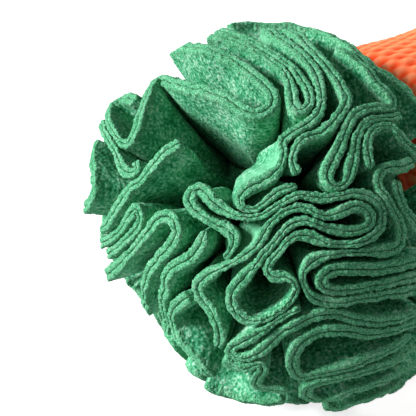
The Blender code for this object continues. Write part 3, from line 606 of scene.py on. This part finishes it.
def fleece_material():
    """Anti-pill polyester fleece, brushed and tumbled: nubs of curled fibre, with painted highlight on their
    tops and painted shade between them.

    The mesh's marks say where the nap lies flat and looks even, with painted light that makes it paler there;
    how far below the cut edge a point is, for painted shade that darkens it towards the root;
    and where the thin groove between the plies runs, which is painted dark as painted shade.
    """
    material, shader = new_material(
        "green_anti_pill_fleece",
        Roughness=0.95,
        Specular_IOR_Level=0.1,
        Sheen_Weight=0.12,
        Sheen_Roughness=0.45,
        Sheen_Tint="#8FDDB0",
    )
    place = add(material, "TexCoord").outputs["Object"]
    marks = [add(material, "Attribute", attribute_name=mark) for mark in ("flat_nap_painted_light", "depth", "groove")]
    flat_nap_painted_light, depth, groove = (mark.outputs["Fac"] for mark in marks)
    stir = add(material, "TexNoise", {"Vector": place, "Scale": 1 / NUB_BEND_SIZE, "Detail": 2.0})
    bend = add(
        material,
        "VectorMath",
        {0: stir.outputs["Color"], 1: [NUB_BEND] * 3, 2: place},
        operation="MULTIPLY_ADD",
    )
    nubs = add(
        material,
        "TexVoronoi",
        {"Vector": bend, "Scale": 1 / NUB_SIZE, "Smoothness": 0.6},
        feature="SMOOTH_F1",
    )
    curl = add(material, "TexNoise", {"Vector": place, "Scale": 1 / NAP_CURL, "Detail": 3.0})
    blotches = add(material, "TexNoise", {"Vector": place, "Scale": 1 / NAP_BLOTCH, "Detail": 2.0})
    tufts = add(material, "Math", {0: nubs, 1: -0.8, 2: blotches}, operation="MULTIPLY_ADD")
    pile = add(material, "Math", {0: curl, 1: 1.6, 2: tufts}, operation="MULTIPLY_ADD")
    spread = add(material, "MapRange", {"Value": pile, "From Min": 0.5, "From Max": 1.35})
    # Painted highlight and shade: higher parts of the pile get paler greens and its hollows darker ones, over
    # partly random blotches.
    tones = [(0.0, "#147245"), (1.0, "#AEDCBF"), (0.5, "#54AE82")]
    colour = add(material, "ValToRGB", {"Fac": spread}, tones)
    cut = add(material, "MapRange", {"Value": depth, "From Max": 0.05, "To Min": 0.75, "To Max": 0.0})
    fibres = add(material, "TexNoise", {"Vector": place, "Scale": 1 / CUT_FIBRE, "Detail": 4.0})
    fuzz = add(material, "ValToRGB", {"Fac": fibres}, [(0.38, "#0E6C3E"), (0.64, "#7CC399")])
    edge = add(material, "Mix", {"Factor": cut, 6: colour, 7: fuzz}, data_type="RGBA")
    # Painted light: where the nap lies flat, the fleece is also painted an even, paler green.
    face = add(material, "Mix", {"Factor": flat_nap_painted_light, 6: edge.outputs[2], 7: "#70BA91"}, data_type="RGBA")
    # Painted shade: deep down towards the root and along the groove between the plies, the fleece is darkened
    # towards #054726.
    low = add(material, "MapRange", {"Value": depth, "From Min": 0.2, "From Max": 0.9, "To Max": 0.8})
    spans = {"From Min": 0.35, "From Max": 0.65, "To Min": 0.95, "To Max": 0.3}
    broken = add(material, "MapRange", {"Value": curl, **spans})
    line = add(material, "Math", {0: groove, 1: broken}, operation="MULTIPLY")
    dark = add(material, "Math", {0: low, 1: line}, operation="MAXIMUM")
    deep = add(material, "Mix", {"Factor": dark, 6: face.outputs[2], 7: "#054726"}, data_type="RGBA")
    napped = add(material, "MapRange", {"Value": flat_nap_painted_light, "To Min": 1.0, "To Max": 0.15})
    height = add(material, "Math", {0: pile, 1: napped}, operation="MULTIPLY")
    bump = add(material, "Bump", {"Height": height, "Strength": 0.6, "Distance": NAP_HEIGHT})
    feed(shader, {"Base Color": deep.outputs[2], "Normal": bump})
    return material


def knit_material():
    """Bulky acrylic knit: soft strands, with painted highlight on their tops and painted shade, a deeper
    orange, in the holes between stitches.
    """
    material, shader = new_material(
        "orange_bulky_acrylic_knit",
        Roughness=0.9,
        Specular_IOR_Level=0.2,
        Sheen_Weight=0.1,
        Sheen_Roughness=0.5,
        Sheen_Tint="#FFB48A",
    )
    place = add(material, "TexCoord").outputs["Object"]
    fibres = add(material, "TexNoise", {"Vector": place, "Scale": 1 / YARN_FIBRE, "Detail": 3.0})
    blotches = add(material, "TexNoise", {"Vector": place, "Scale": 1 / YARN_BLOTCH, "Detail": 1.0})
    high = add(material, "Attribute", attribute_name="high").outputs["Fac"]
    for uneven in (fibres, blotches):
        high = add(material, "Math", {0: uneven, 1: 0.25, 2: high}, operation="MULTIPLY_ADD")
    spread = add(material, "MapRange", {"Value": high, "From Min": 0.25, "From Max": 1.15})
    # Painted highlight and shade: higher parts of the stitches get paler orange, the holes and seams a deeper
    # orange.
    tones = [(0.0, "#E02C04"), (1.0, "#FF8F60"), (0.5, "#FA5C28")]
    colour = add(material, "ValToRGB", {"Fac": spread}, tones)
    bump = add(material, "Bump", {"Height": fibres, "Strength": 0.5, "Distance": YARN_HEIGHT})
    feed(shader, {"Base Color": colour, "Normal": bump})
    return material


def plain_cloth_material(name, light, dark, grain, height):
    """Spun, woven or carded fibre: dull, with two close tones in a fine uneven grain."""
    material, shader = new_material(name, Roughness=0.9, Sheen_Weight=0.2)
    place = add(material, "TexCoord").outputs["Object"]
    fibres = add(material, "TexNoise", {"Vector": place, "Scale": 1 / grain, "Detail": 4.0})
    colour = add(material, "ValToRGB", {"Fac": fibres}, [(0.3, dark), (0.7, light)])
    bump = add(material, "Bump", {"Height": fibres, "Strength": 0.6, "Distance": height})
    feed(shader, {"Base Color": colour, "Normal": bump})
    return material


def moulded_plastic_material(name, light, dark):
    """Injection-moulded polyethylene: waxy and even, with a faint flow of tone and a soft gloss."""
    material, shader = new_material(name, Roughness=0.4, Subsurface_Weight=0.1, IOR=1.51)
    place = add(material, "TexCoord").outputs["Object"]
    flow = add(material, "TexNoise", {"Vector": place, "Scale": 1 / PLASTIC_FLOW, "Detail": 2.0})
    colour = add(material, "ValToRGB", {"Fac": flow}, [(0.35, dark), (0.65, light)])
    grain = add(material, "TexNoise", {"Vector": place, "Scale": 1 / PLASTIC_GRAIN, "Detail": 2.0})
    bump = add(material, "Bump", {"Height": grain, "Strength": 0.15, "Distance": PLASTIC_HEIGHT})
    feed(shader, {"Base Color": colour, "Normal": bump})
    return material


# Rows of points over a ply: turns over its cut edge, shares of its height outside and in the groove.
# The cut edge is nearer to square than round, and the power below 1 makes it so.
EDGE_TURNS = np.radians([22, 42, 62, 82, 102, 122, 142, 161])
OUTER_ROWS = np.concatenate(
    [np.linspace(0.0, 0.72, 9), np.linspace(0.78, 0.94, 7), np.linspace(0.955, 1.0, 4)]
)
INNER_ROWS = np.array([1.0, 0.97, 0.9, 0.6, 0.1])
EDGE_POWER = 0.7
END_TAPER = 1.8 * MM
END_LEAST = 0.05
END_ROUND = 2 * MM
END_ROUND_SHARE = 0.6
LEAN_FROM, LEAN_TO = 0.5, 1.0
ASIDE_SHARE = 0.01
BEND_ROOM = 0.85

# The groove: how its width varies along it, its most as a share of the wall at the top and below, its
# share that is left deep down, and how fast it narrows and its shade fades
GROOVE_MEAN, GROOVE_SPREAD, GROOVE_RANGE = 0.6, 1.1, (0.1, 2.6)
GROOVE_MOST, GROOVE_MOST_BELOW = 0.2, 0.3
GROOVE_DEEP = 0.4
GROOVE_POWER, GROOVE_SHADE_POWER = 12, 8

# Depths as shares of the height: where the cut edge ends, where its colour does and where the nubs do
TOP_DEPTH = 0.02
EDGE_DEPTH = 0.05
NAPPED_DEPTH = 0.25
NUB_LEAST = 0.2


def finer(route, free, step):
    """A route and its free distances with points a step apart."""
    run = run_along(route)
    marks = np.linspace(0.0, run[-1], math.ceil(run[-1] / step) + 1)
    points = np.stack([np.interp(marks, run, column) for column in route.T], axis=1)
    return smoothed(points, passes=3), np.interp(marks, run, free)


def ruffle(name, route, free, step, material):
    """A strip of fleece folded along its root, so that two plies with cut edges stand side by side."""
    free = smoothed(least_near(free, reach=3), passes=6)
    route, room = finer(route, free, step)
    passes = round(2 * ROUTE_STEP / step) ** 2
    ahead = units(smoothed(np.gradient(route, axis=0), passes))
    outward = units(route)
    aside = units(np.cross(outward, ahead))
    run = run_along(route)
    bend = (smoothed(np.gradient(ahead, run, axis=0), passes) * aside).sum(axis=1)
    ends = np.minimum(run, run[-1] - run)
    taper = np.sqrt(1 - (1 - np.clip(ends / END_TAPER, END_LEAST, 1.0)) ** 2)
    drop = END_ROUND * (1 - np.sqrt(1 - (1 - np.clip(ends / END_ROUND, 0.0, 1.0)) ** 2))
    crest = np.linalg.norm(kept_clear(route), axis=1) - END_ROUND_SHARE * drop
    crest = crest + EDGE_LUMP * waves(route, EDGE_LUMP_LENGTH, seed=5)

    def row(up, inset):
        """The fold's middle at a share of its height: point, sideways direction, size beside the ball's."""
        radius = ROOT_RADIUS + (crest - inset - ROOT_RADIUS) * up
        rise = np.clip((up - LEAN_FROM) / (LEAN_TO - LEAN_FROM), 0.0, 1.0)
        share = 1 - rise * rise * (3 - 2 * rise)
        left, right = (leaning(units(outward + way * ASIDE_SHARE * aside), share) for way in (1, -1))
        spread = left - right
        size = np.linalg.norm(spread, axis=1) / (2 * ASIDE_SHARE) * radius / BALL_RADIUS
        return leaning(outward, share) * radius[:, None], units(spread), size

    def half(size, side):
        """How far the fold's wall stands from its middle, which the room and the bend's inside limit."""
        wide = np.clip((room - RUFFLE_GAP) / 2 * size, PLY_LEAST * size, PLY)
        turn = np.where(bend * side > 0, BEND_ROOM / np.maximum(np.abs(bend), TINY) * size, np.inf)
        return np.minimum(wide, np.maximum(turn, PLY_LEAST * size)) * taper

    columns = []
    shift = EDGE_DRIFT * waves(route, EDGE_DRIFT_LENGTH, seed=6) * taper
    loose = np.clip(GROOVE_MEAN + GROOVE_SPREAD * waves(route, GROOVE_LENGTH, seed=7), *GROOVE_RANGE)
    for side in (1, -1):
        top_half = half(row(1.0, 0.0)[2], side)
        open_half = np.minimum(GROOVE * loose, top_half * GROOVE_MOST)
        radius = (top_half - open_half) / 2
        column = []
        for up in OUTER_ROWS:
            middle, line, size = row(up, radius)
            column.append((middle + line * (side * half(size, side))[:, None], 1 - up, 0.0))
        middle, line, _ = row(1.0, radius)
        for turn in EDGE_TURNS:
            outside = math.cos(turn)
            from_middle = math.copysign(abs(outside) ** EDGE_POWER, outside)
            width = side * ((top_half + open_half) / 2 + radius * from_middle) + shift * (1 - outside) / 2
            lift = radius * math.sin(turn) ** EDGE_POWER
            point = middle + outward * lift[:, None] + line * width[:, None]
            column.append((point, 0.0, max(0.0, -outside) ** GROOVE_SHADE_POWER))
        for up in INNER_ROWS:
            middle, line, size = row(up, radius)
            narrow = open_half * (GROOVE_DEEP + (1 - GROOVE_DEEP) * up**GROOVE_POWER)
            width = side * np.minimum(narrow, half(size, side) * GROOVE_MOST_BELOW) + shift * up
            column.append((middle + line * width[:, None], 1 - up, 1.0))
        columns += column if side == 1 else column[::-1]
    points, depth, groove = (np.array(values) for values in zip(*columns))
    points = points.transpose(1, 0, 2)
    top = (depth < TOP_DEPTH)[:, None]
    away = units((points - points[:, ::-1]) / 2 + outward[:, None] * NUB_LIFT * top)
    nubs = sum(
        share * waves(points, length, seed) for seed, (share, length) in enumerate(NUB_WAVES, start=11)
    )
    rise = np.clip((NAPPED_DEPTH - depth) / NAPPED_DEPTH, NUB_LEAST, 1.0)
    points = points + away * (FLEECE_NUB * nubs * rise * (groove < 0.5) * taper[:, None])[..., None]
    level = np.clip((np.linalg.norm(points, axis=2) - ROOT_RADIUS) / (BALL_RADIUS - ROOT_RADIUS), 0.0, 1.0)
    sway = np.stack([waves(points, WALL_SWAY_LENGTH, seed) for seed in (21, 22, 23)], axis=-1)
    points = points + WALL_SWAY * sway * np.sin(math.pi * level)[..., None]
    points[..., 2] = np.maximum(points[..., 2], -BALL_CENTRE[2])
    # Painted light: this mark also makes the material paint the fleece paler where the nap lies flat.
    flat_nap_painted_light = np.zeros(points.shape[:2])
    for pixel, reach in FLAT_NAP_PAINTED_LIGHT_SPOTS:
        away = np.linalg.norm(points - crest_point(pixel), axis=2) / (reach * PIXEL_SHARE * BALL_RADIUS)
        flat_nap_painted_light = np.maximum(flat_nap_painted_light, np.exp(-(away**4)) * np.clip(depth / EDGE_DEPTH, 0.0, 1.0))
    depth, groove = (np.broadcast_to(values, flat_nap_painted_light.shape) for values in (depth, groove))
    # The depth and groove marks carry painted shade for the material.
    marks = {"depth": depth, "groove": groove, "flat_nap_painted_light": flat_nap_painted_light}
    piece = solid(name, points + BALL_CENTRE, material, marks)
    return piece


def make_ruffles(material):
    """Every ruffle, with finer steps where the picture shows it."""
    routes = all_routes()
    free = free_distances(routes)
    for name, route in routes.items():
        step = FINE_STEP if name in SEEN_RUFFLES else COARSE_STEP
        piece = ruffle(f"fleece_{name}", route, free[name], step, material)
        stand_in(piece, f"ruffle_{name}")


def body_stations():
    """Rows along the body from the neck to the tip: place, radius and height of the middle."""
    stations = [(NECK_DISTANCE, MOUTH_RADIUS, BALL_CENTRE[2])]
    for along_share, radius_share, lift_share in BODY_STATION_SHARES:
        radius = SHOULDER_RADIUS * radius_share
        lying = radius - REST_CUT
        height = lying + (BALL_CENTRE[2] - lying) * lift_share
        stations.append((NECK_DISTANCE + BODY_LENGTH * along_share, radius, height))
    return smooth_curve([np.array(row) for row in stations], BODY_STEP)


def sunk(stations, depth):
    """The body's rows moved inwards, square to its profile."""
    slopes = units(smoothed(np.gradient(stations[:, :2], axis=0), 2))
    moved = stations.copy()
    moved[:, 0] += depth * slopes[:, 1]
    moved[:, 1] -= depth * slopes[:, 0]
    moved[:, 1] = np.maximum(moved[:, 1], MM)
    moved[0, 1] = MOUTH_RADIUS
    moved[-1, 0] = NECK_DISTANCE + BODY_LENGTH
    return moved


def body_points(stations, angles, swell=0.0):
    """Points of the body: stations along, angles round the axis (one row of them for each station)."""
    radius = stations[:, 1, None] + swell
    along = np.broadcast_to(stations[:, 0, None] + BALL_CENTRE[0], angles.shape)
    height = np.maximum(stations[:, 2, None] + radius * np.sin(angles), 0.0)
    return np.stack([along, radius * np.cos(angles), height], axis=-1)


GORE_POINTS = 120
SEAM_REACH = 3.5 * MM
SEAM_SINK = 1.3 * MM
PUCKERS = 26
PUCKER_REACH = 26 * MM
PUCKER_DEPTH = 1.1 * MM
STITCH_POWER = 0.6
SEAM_SHADE = 0.6
UNDER_POINTS = 20
UNDER_SHADE = 0.4


def knit_swell(run, round_it, angles, seam_distance):
    """How far the knit's stitches stand out, and the share of it for the colour: painted highlight on the
    stitch tops, painted shade in the holes and along the sunk seams.
    """
    lift = np.cos(2 * math.pi * run / KNIT_REPEAT) * np.cos(2 * math.pi * round_it / KNIT_ROW)
    high = np.clip((lift + 1) / 2, 0.0, 1.0) ** STITCH_POWER
    seam = np.exp(-((seam_distance / SEAM_REACH) ** 2))
    pucker = np.cos(PUCKERS * angles) * np.exp(-run / PUCKER_REACH)
    flat = KNIT_DEPTH * (high - 1) + PUCKER_DEPTH * (pucker - 1)
    return flat * (1 - seam) - SEAM_SINK * seam, high * (1 - SEAM_SHADE * seam)


def make_gores(material):
    """Four gores of knit side by side, each a curved sheet with its stitches on the outside."""
    stations = body_stations()
    inner = sunk(stations, KNIT_THICKNESS)
    run = run_along(stations[:, :2])
    for gore, side in enumerate(GORE_NAMES):
        middle = (gore - 1) * math.pi / 2
        trim = SEAM_GAP / 2 / stations[:, 1, None]
        reach = (math.pi / 4 - trim) * np.linspace(-1, 1, GORE_POINTS)[None]
        round_it = reach * stations[:, 1, None]
        edge = (math.pi / 4 - np.abs(reach)) * stations[:, 1, None]
        swell, high = knit_swell(run[:, None], round_it, reach + middle, edge)
        over = body_points(stations, reach + middle, swell)
        under_reach = reach[:, :: -(GORE_POINTS // UNDER_POINTS)]
        under = body_points(inner, under_reach + middle)
        rings = np.concatenate([over, under], axis=1)
        marks = {"high": np.concatenate([high, np.full(under_reach.shape, UNDER_SHADE)], axis=1)}
        piece = solid(f"knit_gore_{side}", rings, material, marks)
        stand_in(piece, f"body_gore_{side}")


CAP_RINGS = 26
CAP_POINTS = 144
CAP_PUCKERS = 16
CAP_PUCKER_DEPTH = 0.5 * MM
CAP_ROW_DEPTH = 0.3 * MM


def make_tail_cap(material):
    """The knit drawn together over the tip, with puckers that run in to its middle."""
    last = body_stations()[-1]
    start = NECK_DISTANCE + BODY_LENGTH + SEAM_GAP
    steps = np.linspace(0.0, TIP_SWEEP, CAP_RINGS)
    angles = np.broadcast_to(full_turn(CAP_POINTS), (CAP_RINGS, CAP_POINTS))
    height = np.full(CAP_RINGS, last[2])
    stations = np.stack([start + TIP_LENGTH * np.sin(steps), last[1] * np.cos(steps), height], axis=1)
    pucker = np.cos(CAP_PUCKERS * angles) * np.sin(steps)[:, None]
    lift = np.cos(2 * math.pi * steps[:, None] * last[1] / KNIT_ROW)
    swell = CAP_PUCKER_DEPTH * (pucker - 1) + CAP_ROW_DEPTH * (lift - 1)
    rings = body_points(stations, angles, swell)
    # Painted highlight and shade: the pucker ridges and rows get paler, their hollows darker.
    piece = solid("knit_tail_cap", rings, material, {"high": 0.6 + 0.25 * pucker + 0.15 * lift})
    stand_in(piece, "tail_cap")


LINING_POINTS = 120
LINING_FOLDS = 24
LINING_FOLD_DEPTH = 0.12 * MM


def make_lining(material):
    """The cotton bag inside the knit, closed at the tip."""
    stations = body_stations()[::3]
    outside = sunk(stations, KNIT_THICKNESS + LAYER_GAP)
    inside = sunk(stations, KNIT_THICKNESS + LAYER_GAP + LINING_THICKNESS)
    inside[-1, 0] -= LINING_THICKNESS
    angles = np.broadcast_to(full_turn(LINING_POINTS), (len(stations), LINING_POINTS))
    folds = LINING_FOLD_DEPTH * np.cos(LINING_FOLDS * angles)
    rings = np.concatenate([body_points(outside, angles, folds)[::-1], body_points(inside, angles, folds)])
    piece = solid("lining", rings, material)
    stand_in(piece, "lining_bag")


WELD = 0.01 * MM
FILLING_DENT = 0.5 * MM
FILLING_DENT_LENGTH = 14 * MM
FILLING_HIGHEST = 1.6


def make_lump(node, name, material, voxel):
    """A lump of filling: the solid's mesh merged, remeshed and made uneven."""
    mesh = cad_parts[node].data.copy()
    mesh.materials.clear()
    mesh.materials.append(material)
    piece = bpy.data.objects.new(name, mesh)
    bpy.context.scene.collection.objects.link(piece)
    bpy.ops.object.select_all(action="DESELECT")
    piece.select_set(True)
    bpy.context.view_layer.objects.active = piece
    bpy.ops.object.mode_set(mode="EDIT")
    bpy.ops.mesh.select_all(action="SELECT")
    bpy.ops.mesh.remove_doubles(threshold=WELD)
    bpy.ops.object.mode_set(mode="OBJECT")
    modify(piece, "REMESH", mode="VOXEL", voxel_size=voxel)
    modify(piece, "SMOOTH", iterations=4)
    mesh = piece.data
    points = np.zeros(len(mesh.vertices) * 3)
    normals = np.zeros(len(mesh.vertices) * 3)
    mesh.vertices.foreach_get("co", points)
    mesh.vertex_normals.foreach_get("vector", normals)
    points, normals = points.reshape(-1, 3), normals.reshape(-1, 3)
    dent = (waves(points, FILLING_DENT_LENGTH, seed=31) - FILLING_HIGHEST) / (1 + FILLING_HIGHEST)
    mesh.vertices.foreach_set("co", (points + normals * FILLING_DENT * dent[:, None]).ravel())
    mesh.update()
    mesh.shade_smooth()
    stand_in(piece, node)


TURN_STEPS = 96
BULB_ARC_STEPS = 36
STEM_STEPS = 8


def turned_rings(profile):
    """Rings of a shape turned about the body's axis. Its profile is radii and places along the axis."""
    angles = full_turn(TURN_STEPS)[:, None]
    radii, along = np.array(profile).T[:, None]
    places = np.broadcast_to(along, (TURN_STEPS, along.size))
    return np.stack([places, radii * np.cos(angles), radii * np.sin(angles)], axis=-1) + BALL_CENTRE


def make_bulb(material):
    """The stuffed fleece bulb that the ruffles are sewn to, and the disc that closes it."""
    stem = MOUTH_RADIUS - MOUTH_GAP
    stem_end = NECK_DISTANCE + KNIT_THICKNESS / 2

    def profile(out, stem_out):
        """The outline of a ball and its stem, with the radii of both."""
        shoulder = math.pi - math.asin(stem_out / out)
        angles = np.linspace(math.asin(POLE_HOLE / out), shoulder, BULB_ARC_STEPS)
        arc = [(out * math.sin(angle), -out * math.cos(angle)) for angle in angles]
        last = arc[-1][1]
        shares = [step / STEM_STEPS for step in range(1, STEM_STEPS + 1)]
        return arc + [(stem_out, last + (stem_end - last) * share) for share in shares]

    outside = profile(BULB_RADIUS, stem)
    inside = profile(BULB_RADIUS - BULB_WALL, stem - BULB_WALL)
    piece = solid("bulb", turned_rings(outside + inside[::-1]), material, joined=True)
    stand_in(piece, "ruffle_base_bulb")
    low = stem_end + LAYER_GAP
    high = NECK_DISTANCE + KNIT_THICKNESS + LAYER_GAP + LINING_THICKNESS
    under = [(POLE_HOLE, low), (stem / 2, low), (stem - DISC_EDGE, low), (stem, low + DISC_EDGE)]
    over = [(stem, high - DISC_EDGE), (stem - DISC_EDGE, high), (stem / 2, high), (POLE_HOLE, high)]
    piece = solid("neck_disc_fleece", turned_rings(under + over), material, joined=True)
    stand_in(piece, "neck_disc")


CORD_RINGS = 360
CORD_POINTS = 24
CORD_STRANDS = 3
CORD_TURNS = 24


def make_neck_cord(material):
    """The gathering cord round the neck, three strands twisted."""
    around = full_turn(CORD_RINGS)[:, None]
    section = full_turn(CORD_POINTS)[None]
    strand = np.abs(np.cos(CORD_STRANDS / 2 * (section - CORD_TURNS * around)))
    size = NECK_CORD_RADIUS * (0.8 + 0.2 * strand)
    ring = MOUTH_RADIUS + NECK_CORD_RADIUS + size * np.cos(section)
    along = NECK_DISTANCE - LAYER_GAP - NECK_CORD_RADIUS + size * np.sin(section)
    rings = np.stack([along, ring * np.cos(around), ring * np.sin(around)], axis=-1) + BALL_CENTRE
    piece = solid("neck_cord", rings, material, joined=True)
    stand_in(piece, "neck_gathering_cord")


BELLOWS_POINTS = 72
BELLOWS_EDGE = 0.3 * MM


def make_bellows(material):
    """The squeaker's bellows, extruded fold by fold from a circle and given its wall."""
    low = SQUEAKER_LOW + SQUEAKER_PLATE + BELLOWS_GAP
    rise = (SQUEAKER_HEIGHT - 2 * SQUEAKER_PLATE - 2 * BELLOWS_GAP) / (2 * BELLOWS_FOLDS)
    bpy.ops.object.select_all(action="DESELECT")
    bpy.ops.mesh.primitive_circle_add(vertices=BELLOWS_POINTS, radius=SQUEAKER_RADIUS, location=(0, 0, 0))
    piece = bpy.context.active_object
    piece.name = "squeaker_bellows_moulded"
    bpy.ops.object.mode_set(mode="EDIT")
    bpy.ops.mesh.select_all(action="SELECT")
    inner = (SQUEAKER_RADIUS - BELLOWS_FOLD) / SQUEAKER_RADIUS
    for step in range(2 * BELLOWS_FOLDS):
        bpy.ops.mesh.extrude_region_move(TRANSFORM_OT_translate={"value": (0, 0, rise)})
        share = inner if step % 2 == 0 else 1 / inner
        bpy.ops.transform.resize(value=(share, share, 1))
    bpy.ops.mesh.select_all(action="SELECT")
    bpy.ops.transform.translate(value=(SQUEAKER_X, 0, low))
    bpy.ops.mesh.normals_make_consistent(inside=False)
    bpy.ops.object.mode_set(mode="OBJECT")
    modify(piece, "SOLIDIFY", thickness=BELLOWS_WALL, offset=-1)
    modify(piece, "BEVEL", width=BELLOWS_EDGE, segments=2)
    piece.data.shade_smooth()
    piece.data.materials.append(material)
    stand_in(piece, "squeaker_bellows")
    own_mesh(piece)


def finish_cad_node(node, material):
    """A hard piece that stays as its solid, with its own finish."""
    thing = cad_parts[node]
    thing.data.materials.clear()
    thing.data.materials.append(material)


def hang_lamp(name, kind, direction, distance, centre=BALL_CENTRE, **settings):
    """A lamp in a direction and at a distance from a point, turned to it."""
    lamp = bpy.data.lights.new(name, kind)
    for key, value in settings.items():
        setattr(lamp, key, value)
    thing = bpy.data.objects.new(name, lamp)
    aim = Vector(units(np.array(direction, float)))
    thing.location = Vector(centre) + aim * distance
    thing.rotation_euler = aim.to_track_quat("Z", "Y").to_euler()
    bpy.context.scene.collection.objects.link(thing)


def backdrop_rays(material):
    """1 for rays from the camera, off gloss or through glass, which see a bright backdrop, else 0."""
    rays = add(material, "LightPath").outputs
    seen = rays["Is Camera Ray"]
    for kind in ("Is Glossy Ray", "Is Transmission Ray"):
        seen = add(material, "Math", {0: seen, 1: rays[kind]}, operation="MAXIMUM")
    return seen


SURROUND_LIGHT = 0.12
FLOOR_SIZE = 40.0
FLOOR_DROP = 0.3 * MM
FLOOR_GLOW = 0.8


def make_studio():
    """Camera as in the picture, a pale floor, a white surround and three lamps.

    A distant soft one is at the picture's upper left, a weak one overhead and a small one over the body.
    """
    scene = bpy.context.scene
    scene.view_settings.view_transform = "Standard"
    camera = bpy.data.cameras.new("camera")
    frame_width = FRAME_PIXELS * PIXEL_SHARE * LIMB
    camera.lens = camera.sensor_width * VIEW_DISTANCE / frame_width
    camera.clip_start, camera.clip_end = 10 * MM, FLOOR_SIZE / 2
    seat = bpy.data.objects.new("camera", camera)
    scene.collection.objects.link(seat)
    aside, above = (np.array(BALL_CENTRE_PIXEL) - FRAME_PIXELS / 2) * PIXEL_SHARE * LIMB
    eye = Vector(BALL_CENTRE + BACK * VIEW_DISTANCE)
    aim = Vector(BALL_CENTRE - aside * RIGHT + above * UP)
    seat.location = eye
    seat.rotation_euler = (aim - eye).to_track_quat("-Z", "Y").to_euler()
    scene.camera = seat

    world = bpy.data.worlds.new("white_surround")
    scene.world = world
    world.use_nodes = True
    soft = world.node_tree.nodes["Background"]
    feed(soft, {"Color": "#FFFFFF", "Strength": SURROUND_LIGHT})
    white = add(world, "Background", {"Color": "#FFFFFF", "Strength": 1.0})
    mix = add(world, "MixShader", {0: backdrop_rays(world), 1: soft, 2: white})
    feed(world.node_tree.nodes["World Output"], {"Surface": mix})

    paper, shader = new_material(
        "matt_white_paper_floor",
        Base_Color="#C4C4C4",
        Roughness=1.0,
        Specular_IOR_Level=0.0,
        Emission_Color="#FFFFFF",
    )
    glow = add(paper, "Math", {0: backdrop_rays(paper), 1: FLOOR_GLOW}, operation="MULTIPLY")
    feed(shader, {"Emission Strength": glow})
    bpy.ops.object.select_all(action="DESELECT")
    bpy.ops.mesh.primitive_plane_add(size=FLOOR_SIZE, location=(0, 0, -FLOOR_DROP))
    floor = bpy.context.active_object
    floor.name = "floor"
    floor.data.materials.append(paper)

    upper_left = -0.97 * RIGHT + 0.38 * UP + 0.42 * BACK
    hang_lamp("far_softbox", "SUN", upper_left, distance=1.0, energy=6.1, angle=math.radians(20))
    overhead = 0.1 * RIGHT + 0.8 * UP + 0.5 * BACK
    hang_lamp("soft_fill", "AREA", overhead, distance=1.2, shape="DISK", size=0.7, energy=0.3)
    body_spot = BALL_CENTRE + BALL_RADIUS * np.array([1.9, 0.0, 0.4])
    narrow = {"shape": "DISK", "size": 0.14, "energy": 0.14, "spread": math.radians(40)}
    hang_lamp("body_softbox", "AREA", (0.5, -0.55, 0.72), distance=0.5, centre=body_spot, **narrow)


make_studio()
fleece = fleece_material()
knit = knit_material()

# Cord, cloth and filling: each with its lighter and darker tone, its grain and the height of its relief
thread = plain_cloth_material("orange_cotton_cord", "#D9501F", "#B23A10", 0.6 * MM, 0.2 * MM)
cotton = plain_cloth_material("plain_woven_cotton", "#EFE6D2", "#DCCFB4", 0.5 * MM, 0.1 * MM)
filling = plain_cloth_material("polyester_fibre_filling", "#F7F7F5", "#E4E4E0", 2.5 * MM, 0.8 * MM)
milky_plastic = moulded_plastic_material("milky_moulded_polyethylene", "#EFEBDD", "#E3DECB")
blue_plastic = moulded_plastic_material("blue_moulded_polyethylene", "#3563C8", "#2A52AE")

make_ruffles(fleece)
make_gores(knit)
make_tail_cap(knit)
make_lining(cotton)
make_lump("stuffing_front", "filling_front", filling, voxel=2.6 * MM)
make_lump("stuffing_rear", "filling_rear", filling, voxel=2.6 * MM)
make_lump("bulb_stuffing", "filling_bulb", filling, voxel=2.2 * MM)
make_bulb(fleece)
make_neck_cord(thread)
make_bellows(milky_plastic)
for node in ("squeaker_base", "squeaker_top"):
    finish_cad_node(node, milky_plastic)
for node in ("reed_holder", "reed"):
    finish_cad_node(node, blue_plastic)
